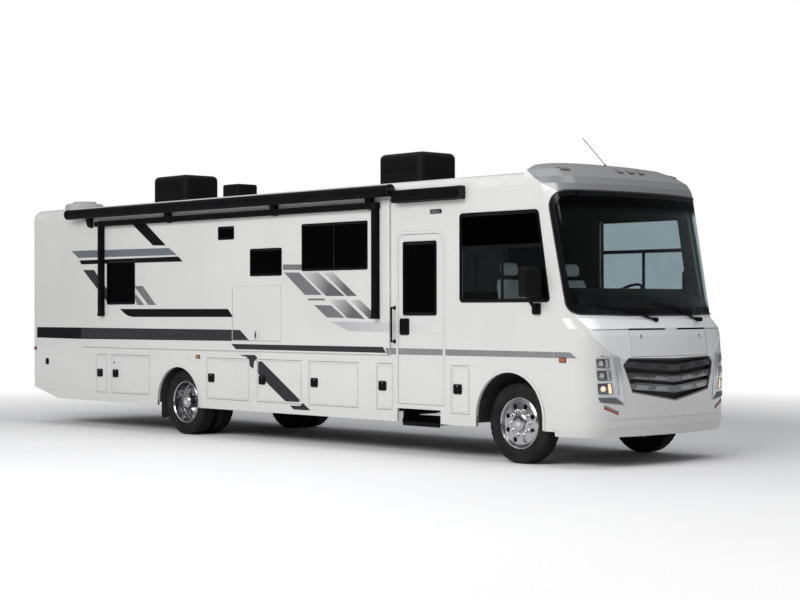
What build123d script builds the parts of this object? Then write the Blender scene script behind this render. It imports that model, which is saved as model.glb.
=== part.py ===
from build123d import *
import os
from math import atan2, cos, pi, radians, sin, sqrt

# Motorhome, millimetres. +X forward, +Y to the vehicle's left, +Z up.
# The origin lies on the ground, at mid length and mid width.

# ---------------------------------------------------------------- driving dimensions
LENGTH = 11640.0
BODY_WIDTH = 2565.0
WHEELBASE = 6400.0
REAR_OVERHANG = 3940.0

WALL = 45.0
SKIRT = 30.0
CAP_WALL = 45.0
GLASS = 8.0
FIT = 0.3
DOOR_GAP = 5.0
HINGE_R = DOOR_GAP - FIT

SKIRT_Z = 397.0
BELT_Z = 1195.0
EAVE_Z = 3170.0
EAVE_R = 150.0
ROOF_CROWN = 45.0
FLOOR_TOP = 1190.0
FLOOR_THICK = 50.0

TYRE_R = 460.0
TYRE_WIDTH = 235.0
RIM_R = 292.0
TYRE_OUTER_Y = 1210.0
DUAL_PITCH = 318.0
KINGPIN_Y = 930.0

RAIL_Y = 432.0
RAIL_DEPTH = 203.0
RAIL_FLANGE = 75.0
RAIL_WALL = 8.0
RAIL_TOP = 823.0

# ---------------------------------------------------------------- stations
HALF = BODY_WIDTH / 2
REAR_X = -LENGTH / 2
NOSE_X = LENGTH / 2
REAR_AXLE_X = REAR_X + REAR_OVERHANG
FRONT_AXLE_X = REAR_AXLE_X + WHEELBASE
WALL_IN = HALF - WALL
SKIRT_IN = HALF - SKIRT
FLOOR_BOTTOM = FLOOR_TOP - FLOOR_THICK
RIGHT = -1
LEFT = 1
SIDES = {"right": RIGHT, "left": LEFT}


def st(distance):
    """X of a point that lies this far ahead of the front axle."""
    return FRONT_AXLE_X + distance


# ---------------------------------------------------------------- plain helpers
def block(x, y, z):
    """Box between the pairs x, y and z."""
    x0, x1 = sorted(x)
    y0, y1 = sorted(y)
    z0, z1 = sorted(z)
    return Pos(x0, y0, z0) * Box(x1 - x0, y1 - y0, z1 - z0, align=(Align.MIN,) * 3)


def side_profile(points, y):
    """Polygon given as (x, z), extruded across the vehicle between the pair y."""
    y0, y1 = sorted(y)
    face = make_face(Polyline([(px, y0, pz) for px, pz in points], close=True))
    return extrude(face, amount=y1 - y0, dir=(0, 1, 0))


def front_profile(points, x):
    """Polygon given as (y, z), extruded along the vehicle between the pair x."""
    x0, x1 = sorted(x)
    face = make_face(Polyline([(x0, py, pz) for py, pz in points], close=True))
    return extrude(face, amount=x1 - x0, dir=(1, 0, 0))


def plan_profile(points, z):
    """Polygon given as (x, y), extruded upwards between the pair z."""
    z0, z1 = sorted(z)
    face = make_face(Polyline([(px, py, z0) for px, py in points], close=True))
    return extrude(face, amount=z1 - z0, dir=(0, 0, 1))


def rod(start, end, radius):
    """Round bar from start to end."""
    start, end = Vector(start), Vector(end)
    axis = end - start
    return Plane(origin=start, z_dir=axis) * Cylinder(radius, axis.length, align=(Align.CENTER, Align.CENTER, Align.MIN))


def spin_y(points, centre):
    """Closed (radius, y) outline turned about a wheel's axis through centre."""
    cx, cy, cz = centre
    face = make_face(Polyline([(cx + r, cy + py, cz) for r, py in points], close=True))
    return revolve(face, axis=Axis((cx, cy, cz), (0, 1, 0)), revolution_arc=360)


def join(parts):
    whole = parts[0]
    for part in parts[1:]:
        whole = whole + part
    return whole


def save(name, *shapes):
    """Write the solids of one node to its STEP file."""
    solids = [solid for shape in shapes for solid in shape.solids()]
    export_step(Compound(children=solids), f"parts/{name}.step")
    volume = sum(solid.volume for solid in solids) / 1e9
    print(f"{name}: {len(solids)} solids, {volume:.4f} m3")


# ---------------------------------------------------------------- nose of the body
NOSE_RADIUS = 4000.0
# z, set-back of the centre line behind the nose, set-in of each side, corner radius
NOSE_SECTIONS = [
    (345, 45, 26, 330),
    (430, 12, 4, 350),
    (560, 0, 0, 355),
    (1000, 0, 0, 355),
    (1235, 10, 0, 355),
    (1460, 28, 0, 355),
    (1545, 52, 0, 355),
    (1660, 165, 0, 355),
    (3090, 415, 0, 355),
    (EAVE_Z, 440, 2, 355),
    (3250, 490, 20, 355),
    (3345, 640, 95, 370),
    (3410, 800, 230, 380),
    (3440, 960, 420, 380),
]
NOSE_BACK_X = st(-500)


def nose_outline(z, back, inset_side, corner, inset):
    """Plan outline of the nose at height z, moved inwards by inset."""
    tip = NOSE_X - back - inset
    half = HALF - inset_side - inset
    front_r = NOSE_RADIUS - inset
    corner_r = corner - inset
    front_c = tip - front_r
    corner_y = half - corner_r
    corner_x = front_c + sqrt((front_r - corner_r) ** 2 - corner_y ** 2)
    turn = atan2(corner_y, corner_x - front_c)
    meet = (front_c + front_r * cos(turn), front_r * sin(turn))
    mid_turn = (turn + pi / 2) / 2
    mid = (corner_x + corner_r * cos(mid_turn), corner_y + corner_r * sin(mid_turn))

    def at(x, y):
        return (x, y, z)

    edges = [
        Line(at(NOSE_BACK_X, -half), at(corner_x, -half)),
        ThreePointArc(at(corner_x, -half), at(mid[0], -mid[1]), at(meet[0], -meet[1])),
        ThreePointArc(at(meet[0], -meet[1]), at(tip, 0), at(*meet)),
        ThreePointArc(at(*meet), at(*mid), at(corner_x, half)),
        Line(at(corner_x, half), at(NOSE_BACK_X, half)),
        Line(at(NOSE_BACK_X, half), at(NOSE_BACK_X, -half)),
    ]
    return Wire(edges)


def nose_solid(inset, bottom=None):
    """Solid nose moved inwards by inset, or outwards where inset is negative."""
    sections = list(NOSE_SECTIONS)
    if bottom is not None:
        sections[0] = (bottom,) + tuple(sections[0][1:])
    top = sections[-1]
    sections[-1] = (top[0] - inset,) + tuple(top[1:])
    wires = [nose_outline(z, back, side, corner, inset) for z, back, side, corner in sections]
    return Solid.make_loft(wires, ruled=True)


NOSE_OUT = nose_solid(0)
NOSE_IN = nose_solid(CAP_WALL, bottom=200)

# seam between the nose cap and the body, from the ground up: (station, z)
SEAM = [(609, 0), (609, 1640), (418, 2814), (389, 3040), (123, 3240), (123, 3600)]


def ahead_of_seam():
    outline = [(st(x), z) for x, z in SEAM]
    outline += [(NOSE_X + 500, 3600), (NOSE_X + 500, 0)]
    return side_profile(outline, (-HALF - 400, HALF + 400))


FRONT_ZONE = ahead_of_seam()

# windscreen opening in side view: (station, z), whose two rear corners are rounded
SCREEN = [(498, 3088), (1500, 3088), (1500, 1682), (1090, 1694), (788, 1708)]
SCREEN_R = 170.0


def screen_zone(gap):
    face = make_face(Polyline([(st(x), 0, z) for x, z in SCREEN], close=True))
    if gap:
        face = offset(face, amount=-gap)
    face = fillet(face.vertices().sort_by(Axis.X)[:2], SCREEN_R - gap)
    return extrude(face, amount=HALF + 400, dir=(0, 1, 0), both=True)


# hood lid: half width, foot and head
HOOD_HALF = 690.0
HOOD_Z = (1232.0, 1525.0)
HOOD_GAP_TOP = 1545.0
HOOD_THICK = 25.0
HOOD_PIVOT = (NOSE_X - 60, 1535.0)
HOOD_BARREL_R = HOOD_GAP_TOP - HOOD_PIVOT[1] - FIT


def hood_zone(gap):
    """Front view of the hood lid, grown by the running gap on each side and below."""
    top = HOOD_Z[1] if gap == 0 else HOOD_GAP_TOP
    foot = HOOD_Z[0] - gap
    side = HOOD_HALF + gap
    return block((NOSE_X - 250, NOSE_X + 100), (-side, side), (foot, top))


# grille mouth in front view, right half: (y, z), from the top centre outwards
GRILLE_MOUTH = [(0, 1205), (-735, 1218), (-812, 1141), (-690, 832), (0, 722)]


def mirrored(points):
    """Full outline from its right half, which starts and ends on the centre line."""
    return list(points) + [(-y, z) for y, z in reversed(points[1:-1])]


def front_hole(points, x0=NOSE_X - 700):
    return front_profile(points, (x0, NOSE_X + 100))


# lamps, right side, in front view: (y, z)
LAMP_POCKET = [(-1092, 1252), (-975, 1236), (-905, 868), (-1040, 862), (-1092, 905)]
FOG_POCKET = [(-1070, 662), (-880, 588), (-862, 628), (-1066, 712)]


def flip(points):
    return [(-y, z) for y, z in points]


def both_sides(points):
    return [points, flip(points)]


def front_cap():
    cap = (NOSE_OUT & FRONT_ZONE) - NOSE_IN
    cap -= screen_zone(0)
    cap -= hood_zone(DOOR_GAP)
    cap -= front_hole(mirrored(GRILLE_MOUTH))
    for outline in both_sides(LAMP_POCKET) + both_sides(FOG_POCKET):
        cap -= front_hole(outline)
    save("front_cap", cap)


def hood():
    lid = (NOSE_OUT - nose_solid(HOOD_THICK)) & hood_zone(0)
    px, pz = HOOD_PIVOT
    barrel = rod((px, -100, pz), (px, 100, pz), HOOD_BARREL_R)
    knuckle = block((px - 4, px + 6), (-100, 100), (HOOD_Z[1] - 5, pz - 5))
    save("hood", lid + barrel + knuckle)


def windscreen():
    save("windscreen", (NOSE_OUT - nose_solid(GLASS)) & screen_zone(FIT))


def grille():
    inner = nose_solid(60)
    frame_in = [(0, 1188), (-718, 1200), (-788, 1136), (-676, 846), (0, 740)]
    band = (nose_solid(6) - inner) & front_hole(shrink(mirrored(GRILLE_MOUTH), FIT))
    frame = band - front_hole(mirrored(frame_in))
    bars = [frame]
    # centre z, outer z, height, outer y
    for centre_z, outer_z, height, outer_y in [(1096, 1150, 62, 800), (975, 1030, 60, 770), (855, 905, 60, 720)]:
        low, high = -height / 2, height / 2
        outline = mirrored([(0, centre_z + high), (-outer_y, outer_z + high), (-outer_y, outer_z + low), (0, centre_z + low)])
        bars.append((nose_solid(14) - inner) & front_hole(outline) & front_hole(mirrored(GRILLE_MOUTH_IN)))
    save("grille", join(bars))


def shrink(outline, gap):
    """Convex outline with each corner moved towards the middle, so that its sides come in by about gap."""
    mid_y = sum(y for y, z in outline) / len(outline)
    mid_z = sum(z for y, z in outline) / len(outline)
    reach = min(max(z for y, z in outline) - mid_z, mid_z - min(z for y, z in outline))
    share = 1 - gap * 1.6 / reach
    return [(mid_y + (y - mid_y) * share, mid_z + (z - mid_z) * share) for y, z in outline]


GRILLE_MOUTH_IN = [(0, 1200), (-730, 1212), (-800, 1138), (-684, 840), (0, 730)]


# stacked lamps of a headlamp cluster, right side: z top, z foot, inner y at the top and at the foot
LAMP_UNITS = [(1232, 1146, -1018, -1006), (1134, 1046, -1004, -990), (1034, 946, -988, -975)]
LAMP_OUTER_Y = -1082
BEZELS = [
    [(-1000, 1234), (-984, 1232), (-919, 932), (-948, 932)],
    [(-1084, 922), (-919, 922), (-910, 874), (-1038, 870), (-1084, 908)],
]
FOG_STREAK = [(-1062, 662), (-884, 596), (-876, 610), (-1060, 682)]
# roof-edge lamps over the windscreen: centre y
BROW_LAMPS = [-1000, -190, 0, 190, 1000]
BROW_LAMP_Z = (3333, 3367)
BROW_LAMP_BACK = NOSE_X - 900
BROW_LAMP_HALF = 50
# tail lamps: inner y, outer y, foot z, top z
TAIL_LAMP = (1080.0, 1190.0, 1120.0, 1420.0)
# roof-edge lamps at the rear: centre y
REAR_LAMPS = [-1000, -190, 0, 190, 1000]
REAR_LAMP_Z = (3170, 3206)
REAR_POCKET = 10.0
# recess of the number plate: half width, foot z, top z
PLATE = (270.0, 900.0, 1120.0)
# side marker lamps: station, z, half length, half height
SIDE_MARKERS = [(-10250, 1160, 30, 18), (-5983, 1105, 42, 20), (740, 1196, 46, 21)]
MARKER_PROUD = 12.0


def lamps():
    """Headlamp clusters, slot lamps, tail lamps, roof-edge lamps and side markers."""
    back, front, slot_face = nose_solid(48), nose_solid(30), nose_solid(12)
    unit_face, bezel_face = nose_solid(7), nose_solid(3)
    rim, skin = nose_solid(-20), nose_solid(-FIT)
    cluster = []
    for side in (RIGHT, LEFT):
        turn = flip if side == LEFT else list
        pocket = front_hole(shrink(turn(LAMP_POCKET), FIT))
        solid = (pocket & front) - back
        for top, foot, top_y, foot_y in LAMP_UNITS:
            unit = [(LAMP_OUTER_Y, top), (top_y, top), (foot_y, foot), (LAMP_OUTER_Y + 4, foot)]
            solid += (front_hole(turn(unit)) & unit_face) - back
        for outline in BEZELS:
            solid += (front_hole(turn(outline)) & bezel_face) - back
        cluster.append(solid)
        slot = (front_hole(shrink(turn(FOG_POCKET), FIT)) & slot_face) - back
        cluster.append(slot + ((front_hole(turn(FOG_STREAK)) & bezel_face) - back))
        y0, y1, z0, z1 = TAIL_LAMP
        y = (side * (y0 + FIT), side * (y1 - FIT))
        tail = block((REAR_X + 8, REAR_X + 25), y, (z0 + FIT, z1 - FIT))
        lens_z = (z1 - z0 - 2 * FIT) / 3
        for index in range(3):
            foot = z0 + FIT + index * lens_z
            tail += block((REAR_X + 1, REAR_X + 8), (y[0] + side * 4, y[1] - side * 4), (foot + 3, foot + lens_z - 3))
        cluster.append(tail)
        for station, z, half_x, half_z in SIDE_MARKERS:
            x = (st(station) - half_x, st(station) + half_x)
            marker = block(x, (side * (HALF + FIT), side * (HALF + MARKER_PROUD)), (z - half_z, z + half_z))
            cluster.append(fillet(marker.edges().filter_by(Axis.Y), 8))
    for y in BROW_LAMPS:
        z0, z1 = BROW_LAMP_Z
        ends = (y - BROW_LAMP_HALF, y + BROW_LAMP_HALF)
        outline = [(ends[0], z0), (ends[1], z0), (ends[1] - 14, z1), (ends[0] + 14, z1)]
        cluster.append((front_hole(outline, BROW_LAMP_BACK) & rim) - skin)
    for y in REAR_LAMPS:
        ends = (y - BROW_LAMP_HALF, y + BROW_LAMP_HALF)
        cluster.append(block((REAR_X + 1, REAR_X + REAR_POCKET - FIT), ends, REAR_LAMP_Z))
    save("lamps", *cluster)


# ---------------------------------------------------------------- body panels
def body_profile(inset, foot):
    """Cross-section of the body, moved inwards by inset, from foot up to the crowned roof."""
    half = HALF - inset
    corner = EAVE_R - inset
    eave = EAVE_Z
    flat_y = half - corner
    shoulder = eave + corner
    lean = radians(45)
    corner_mid = (flat_y + corner * sin(lean), eave + corner * cos(lean))
    x = 0.0

    def at(y, z):
        return (x, y, z)

    return Wire([
        Line(at(-half, foot), at(-half, eave)),
        ThreePointArc(at(-half, eave), at(-corner_mid[0], corner_mid[1]), at(-flat_y, shoulder)),
        ThreePointArc(at(-flat_y, shoulder), at(0, shoulder + ROOF_CROWN), at(flat_y, shoulder)),
        ThreePointArc(at(flat_y, shoulder), at(*corner_mid), at(half, eave)),
        Line(at(half, eave), at(half, foot)),
        Line(at(half, foot), at(-half, foot)),
    ])


def body_solid(inset, foot, x):
    """Body section run along the vehicle between the pair x."""
    x0, x1 = x
    return Pos(x0, 0, 0) * extrude(make_face(body_profile(inset, foot)), amount=x1 - x0, dir=(1, 0, 0))


REAR_CAP_DEPTH = 130.0
REAR_SEAM_X = REAR_X + REAR_CAP_DEPTH
REAR_CORNER_R = 80.0

# slide-out room: stations of its face, height of its face, and how far it goes out
SLIDE_X = (st(-8907), st(-2040))
SLIDE_Z = (1205.0, 3105.0)
SLIDE_FACE = 20.0
SLIDE_LIP = 35.0
SLIDE_TRAVEL = 610.0
SLIDE_DEPTH = SLIDE_TRAVEL + 150
SLIDE_WALL = 40.0
SLIDE_CLEAR = 6.0
SLIDE_OUT_Y = -HALF - SLIDE_CLEAR - SLIDE_FACE
SLIDE_BACK_Y = SLIDE_OUT_Y + SLIDE_FACE + SLIDE_DEPTH
SLIDE_HOLE_X = (SLIDE_X[0] + SLIDE_LIP, SLIDE_X[1] - SLIDE_LIP)
SLIDE_HOLE_Z = (SLIDE_Z[0] + SLIDE_LIP, SLIDE_Z[1] - SLIDE_LIP)
SLIDE_BOX_X = (SLIDE_HOLE_X[0] + SLIDE_CLEAR, SLIDE_HOLE_X[1] - SLIDE_CLEAR)
SLIDE_BOX_Z = (SLIDE_HOLE_Z[0] + SLIDE_CLEAR, SLIDE_HOLE_Z[1] - SLIDE_CLEAR)

# entry door
ENTRY_X = (st(-1903), st(-1138))
ENTRY_Z = (620.0, 2661.0)
ENTRY_R = 110.0
ENTRY_THICK = 45.0

# wheel arches: centre station, centre height, radius
FRONT_ARCH = (-69, 522, 517)
REAR_ARCH = (-WHEELBASE - 51, 463, 490)
FRONT_WELL = (0, 505, 590)
REAR_WELL = (-WHEELBASE, 463, 530)
WELL_WALL = 10.0
WELL_FOOT = 440.0

# cab window in side view: (station, z)
CAB_WINDOW = [(-845, 2873), (378, 2873), (548, 1850), (-845, 1850)]

# windows in the slide-out's face: x0, x1, z0, z1 (stations)
SLIDE_WINDOWS = [
    (-3688, -2447, 2269, 2851),
    (-4765, -4124, 2219, 2560),
    (-5469, -5141, 2726, 2881),
    (-8189, -7489, 1853, 2473),
]
# windows in the left wall, the same way
LEFT_WINDOWS = [
    (-3688, -2447, 1980, 2700),
    (-5900, -4900, 1980, 2560),
    (-8189, -7489, 1853, 2473),
]
KITCHEN_X = (st(-5165), st(-4134))
KITCHEN_Z = (1348.0, 2075.0)
KITCHEN_THICK = 30.0
KITCHEN_DEPTH = 380.0

# luggage doors: name, x0, x1 (stations), z0, z1
RIGHT_BAYS = [
    ("a", -8539, -8246, 535, 1095),
    ("b", -8125, -7139, 535, 1095),
    ("c", -5786, -4841, 535, 1095),
    ("d", -4667, -3748, 535, 1095),
    ("e", -3597, -2643, 535, 1095),
    ("f", -2304, -2006, 535, 1095),
    ("g", -1003, -699, 535, 1095),
]
LEFT_BAYS = [
    ("a", -8539, -7139, 535, 1095),
    ("b", -5786, -4841, 535, 1095),
    ("c", -4667, -3748, 535, 1095),
    ("d", -3597, -2643, 535, 1095),
]
BAYS = {"right": RIGHT_BAYS, "left": LEFT_BAYS}
BAY_WALL = 15.0
BAY_IN_Y = 470.0

# tail of the skirts, which rises to the rear: (station, z)
SKIRT_TAIL = [(-10400, 300), (-10400, 575), (-10300, 563), (-9570, 397), (-9570, 300)]


def rounded_window(corners, radius, y):
    """Window outline in side view, (x, z) corners, extruded across the pair y."""
    face = make_face(Polyline([(px, 0, pz) for px, pz in corners], close=True))
    face = fillet(face.vertices(), radius)
    low, high = sorted(y)
    solid = extrude(face, amount=high - low, dir=(0, 1, 0))
    return Pos(0, low, 0) * solid


def pane_outline(row):
    x0, x1, z0, z1 = row
    return [(st(x0), z0), (st(x1), z0), (st(x1), z1), (st(x0), z1)]


def cab_window_outline():
    return [(st(x), z) for x, z in CAB_WINDOW]


WINDOW_R = 30.0
PANE_R = WINDOW_R - FIT


def pane(corners, y, gap=FIT):
    """Glass that fits a rounded window with a small gap all round."""
    cx = sum(px for px, pz in corners) / len(corners)
    cz = sum(pz for px, pz in corners) / len(corners)
    inset = [(px - gap * sign(px - cx), pz - gap * sign(pz - cz)) for px, pz in corners]
    return rounded_window(inset, PANE_R, y)


def sign(value):
    return 1 if value > 0 else -1


def entry_cutout(gap, y):
    x0, x1 = ENTRY_X
    z0, z1 = ENTRY_Z
    corners = [(x0 - gap, z0 - gap), (x1 + gap, z0 - gap), (x1 + gap, z1 + gap), (x0 - gap, z1 + gap)]
    face = make_face(Polyline([(px, 0, pz) for px, pz in corners], close=True))
    top = [v for v in face.vertices() if v.Z > 2000]
    face = fillet(top, ENTRY_R + gap)
    low, high = sorted(y)
    return Pos(0, low, 0) * extrude(face, amount=high - low, dir=(0, 1, 0))


def walls():
    pair = []
    for side in SIDES.values():
        span = (side * HALF, side * WALL_IN)
        through = (side * (HALF + 50), side * (WALL_IN - 50))
        wall = block((REAR_SEAM_X, st(700)), span, (BELT_Z, EAVE_Z)) - FRONT_ZONE
        wall -= rounded_window(cab_window_outline(), WINDOW_R, through)
        if side == RIGHT:
            wall -= entry_cutout(DOOR_GAP, through)
            wall -= block(SLIDE_HOLE_X, through, SLIDE_HOLE_Z)
        else:
            for row in LEFT_WINDOWS:
                wall -= rounded_window(pane_outline(row), WINDOW_R, through)
        pair.append(wall)
    save("side_walls", *pair)


def arch(row, y, grow=0):
    station, z, radius = row
    x = st(station)
    radius += grow
    low, high = sorted(y)
    round_top = rod((x, low, z), (x, high, z), radius)
    return round_top + block((x - radius, x + radius), (low, high), (-100, z))


STEP_CUT_X = (st(-1930), st(-1180))
STEP_CUT_Z = 560.0


def skirts():
    """Skirt panels below the belt: a header, a sill and the posts between the doors, with hairline seams."""
    pair = []
    header_z = max(z1 for rows in BAYS.values() for *_, z1 in rows) + DOOR_GAP
    sill_z = min(z0 for rows in BAYS.values() for *_, z0, _ in rows) - DOOR_GAP
    length = (REAR_SEAM_X, st(SEAM[0][0]))
    for name, side in SIDES.items():
        span = (side * HALF, side * SKIRT_IN)
        through = (side * (HALF + 50), side * (SKIRT_IN - 50))
        skirt = block(length, span, (SKIRT_Z, BELT_Z))
        skirt -= side_profile([(st(x), z) for x, z in SKIRT_TAIL], through)
        for row in (FRONT_ARCH, REAR_ARCH):
            skirt -= arch(row, through)
        for _, x0, x1, z0, z1 in BAYS[name]:
            skirt -= block((st(x0) - DOOR_GAP, st(x1) + DOOR_GAP), through, (z0 - DOOR_GAP, z1 + DOOR_GAP))
        skirt -= block(length, through, (header_z, header_z + FIT))
        skirt -= block(length, through, (sill_z - FIT, sill_z))
        if side == RIGHT:
            skirt -= entry_cutout(DOOR_GAP, through)
            skirt -= block(STEP_CUT_X, through, (0, STEP_CUT_Z))
            for x in (ENTRY_X[0] - DOOR_GAP, ENTRY_X[1] + DOOR_GAP):
                skirt -= block((x - FIT, x), through, (sill_z - FIT, ENTRY_Z[0] + DOOR_GAP))
        pair.append(skirt)
    save("side_skirts", *pair)


def roof():
    over_walls = block((REAR_SEAM_X, st(700)), (-HALF - 10, HALF + 10), (EAVE_Z, EAVE_Z + 500))
    shell = body_solid(0, BELT_Z, (REAR_SEAM_X, st(700))) & over_walls
    shell -= body_solid(CAP_WALL, BELT_Z - 100, (REAR_SEAM_X - 50, st(900)))
    save("roof", shell - FRONT_ZONE)


def rear_cap():
    solid = body_solid(0, SKIRT_Z, (REAR_X, REAR_SEAM_X))
    back_edges = solid.faces().sort_by(Axis.X)[0].edges().filter_by(lambda e: e.center().Z > SKIRT_Z + 1)
    solid = fillet(back_edges, REAR_CORNER_R)
    solid -= body_solid(CAP_WALL, SKIRT_Z - 200, (REAR_X + CAP_WALL, REAR_SEAM_X + 10))
    solid -= side_profile([(st(x), z) for x, z in SKIRT_TAIL], (-HALF - 10, HALF + 10))
    for side in (RIGHT, LEFT):
        y0, y1, z0, z1 = TAIL_LAMP
        solid -= block((REAR_X - 10, REAR_X + 25), (side * y0, side * y1), (z0, z1))
    for y in REAR_LAMPS:
        z0, z1 = REAR_LAMP_Z
        ends = (y - BROW_LAMP_HALF - FIT, y + BROW_LAMP_HALF + FIT)
        solid -= block((REAR_X - 10, REAR_X + REAR_POCKET), ends, (z0 - FIT, z1 + FIT))
    half, z0, z1 = PLATE
    solid -= block((REAR_X - 10, REAR_X + REAR_POCKET), (-half, half), (z0, z1))
    save("rear_cap", solid)


def floor():
    slab = block((REAR_X + CAP_WALL, st(609)), (-WALL_IN, WALL_IN), (FLOOR_BOTTOM, FLOOR_TOP))
    nose = block((st(609), st(1000)), (-HALF, HALF), (FLOOR_BOTTOM, FLOOR_TOP)) & NOSE_IN
    slab = slab + nose
    x0, x1 = ENTRY_X
    slab -= block((x0, x1), (-WALL_IN - 10, WELL_IN_Y), (FLOOR_BOTTOM - 10, FLOOR_TOP + 10))
    slides = []
    for x in SLIDE_RAIL_X:
        slides.append(block((x - 40, x + 40), (-WALL_IN, SLIDE_BACK_Y), (FLOOR_TOP, SLIDE_BOX_Z[0] - FIT)))
    for side in (RIGHT, LEFT):
        y = (side * SEAT_Y - 170, side * SEAT_Y + 170)
        slides.append(block((SEAT_X - 170, SEAT_X + 170), y, (FLOOR_TOP, FLOOR_TOP + SEAT_BASE)))
    save("floor", join([slab] + slides))


WELL_IN_Y = -690.0
WELL_OUT_Y = -WALL_IN + DOOR_GAP
SLIDE_RAIL_X = [st(-8500), st(-6600), st(-4400), st(-2450)]


def entry_well():
    """Stepped tub under the entry door, from the door sill up to the floor."""
    x0, x1 = ENTRY_X
    plate = 12.0
    treads = [(620, WELL_OUT_Y, -1060), (810, -1060, -875), (1000, -875, WELL_IN_Y)]
    parts = []
    for z, y0, y1 in treads:
        parts.append(block((x0, x1), (y0, y1 + plate), (z - plate, z)))
    risers = [(-1060, 608, 810), (-875, 798, 1000), (WELL_IN_Y, 988, FLOOR_BOTTOM)]
    for y, z0, z1 in risers:
        parts.append(block((x0, x1), (y, y + plate), (z0, z1)))
    for x in (x0, x1 - plate):
        parts.append(block((x, x + plate), (WELL_OUT_Y, WELL_IN_Y + plate), (608, FLOOR_BOTTOM)))
    save("entry_well", join(parts + [step_housing()]))


STEP_BOX_Z = (470.0, 552.0)
STEP_PLATE = 8.0
STEP_X = (STEP_CUT_X[0] + 40, STEP_CUT_X[1] - 40)
STEP_Y = (-HALF + 60, -640.0)


def step_housing():
    """Open-bottomed tray under the entry well, which carries the sliding step."""
    x0, x1 = STEP_X
    z0, z1 = STEP_BOX_Z
    top = block(STEP_X, STEP_Y, (z1, z1 + STEP_PLATE))
    rails = [block((x, x + STEP_PLATE), STEP_Y, (z0, z1)) for x in (x0, x1 - STEP_PLATE)]
    hanger = block((x0 + 100, x1 - 100), (-1120, -1080), (z1 + STEP_PLATE, 608))
    return join([top, hanger] + rails)


def entry_step():
    """Two treads between two hanger plates, which slide out together."""
    y0 = STEP_Y[0]
    inner0, inner1 = STEP_X[0] + STEP_PLATE + FIT, STEP_X[1] - STEP_PLATE - FIT
    arms = [side_arm(x, 12, y0) for x in (inner0, inner1 - 12)]
    between = (inner0 + 12, inner1 - 12)
    tread = block(between, (y0 - 20, y0 + 230), (375, 400))
    lip = block(between, (y0 - 20, y0 - 8), (350, 375))
    riser = block(between, (y0 + 218, y0 + 230), (390, 470))
    upper = block(between, (y0 + 200, y0 + 430), (STEP_BOX_Z[1] - 40, STEP_BOX_Z[1] - 20))
    save("entry_step", join(arms + [tread, lip, riser, upper]))


def side_arm(x, thick, y0):
    """Hanger plate of the step: a slider inside the housing that drops to the low tread."""
    outline = [(y0 - 20, 375), (y0 + 230, 375), (y0 + 260, 480), (y0 + 480, 480),
               (y0 + 480, STEP_BOX_Z[1] - FIT), (y0 + 30, STEP_BOX_Z[1] - FIT), (y0 - 20, 420)]
    face = make_face(Polyline([(x, py, pz) for py, pz in outline], close=True))
    return extrude(face, amount=thick, dir=(1, 0, 0))


def bays():
    shells = []
    for name, side in SIDES.items():
        outer = side * (SKIRT_IN - FIT)
        inner = side * BAY_IN_Y
        for _, x0, x1, z0, z1 in BAYS[name]:
            tall = (z0 - 20, min(z1 + 15, FLOOR_BOTTOM - 31))
            shell = block((st(x0) - 25, st(x1) + 25), (outer, inner), tall)
            hollow = block((st(x0) - 25 + BAY_WALL, st(x1) + 25 - BAY_WALL), (outer + side, inner + side * BAY_WALL),
                           (tall[0] + BAY_WALL, tall[1] - BAY_WALL))
            shells.append(shell - hollow)
    save("luggage_bays", *shells)


def side_door(x0, x1, z0, z1, side, thick):
    """Flush door with its hinge barrel along the front edge."""
    outer = side * HALF
    door = block((x0, x1), (outer, side * (HALF - thick)), (z0, z1))
    return door + rod((x1, outer, z0), (x1, outer, z1), HINGE_R)


def luggage_doors():
    latch_w, latch_h = 125.0, 105.0
    for name, side in SIDES.items():
        for label, x0, x1, z0, z1 in BAYS[name]:
            door = side_door(st(x0), st(x1), z0, z1, side, SKIRT)
            latch_x = st(x0) + 52
            door += block((latch_x, latch_x + latch_w), (side * HALF, side * (HALF + 8)), (770, 770 + latch_h))
            save(f"door_{name}_{label}", door)


def entry_door():
    x0, x1 = ENTRY_X
    z0, z1 = ENTRY_Z
    outer = -HALF
    door = entry_cutout(0, (outer, outer + ENTRY_THICK))
    door += rod((x1, outer, z0 + 5), (x1, outer, z1 - ENTRY_R), HINGE_R)
    window = [(st(-1805), 1705), (st(-1260), 1705), (st(-1260), 2561), (st(-1805), 2561)]
    door -= rounded_window(window, WINDOW_R, (outer - 50, outer + 100))
    door += block((st(-1861), st(-1720)), (outer, outer - 18), (1459, 1644))
    save("entry_door", door)
    save("entry_door_glass", pane(window, (outer + 4, outer + 4 + GLASS)))


def side_windows():
    panes = []
    for side in (RIGHT, LEFT):
        y = (side * (HALF - 3), side * (HALF - 3 - GLASS))
        panes.append(pane(cab_window_outline(), y))
        if side == LEFT:
            for row in LEFT_WINDOWS:
                panes.append(pane(pane_outline(row), y))
    save("side_windows", *panes)


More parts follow.
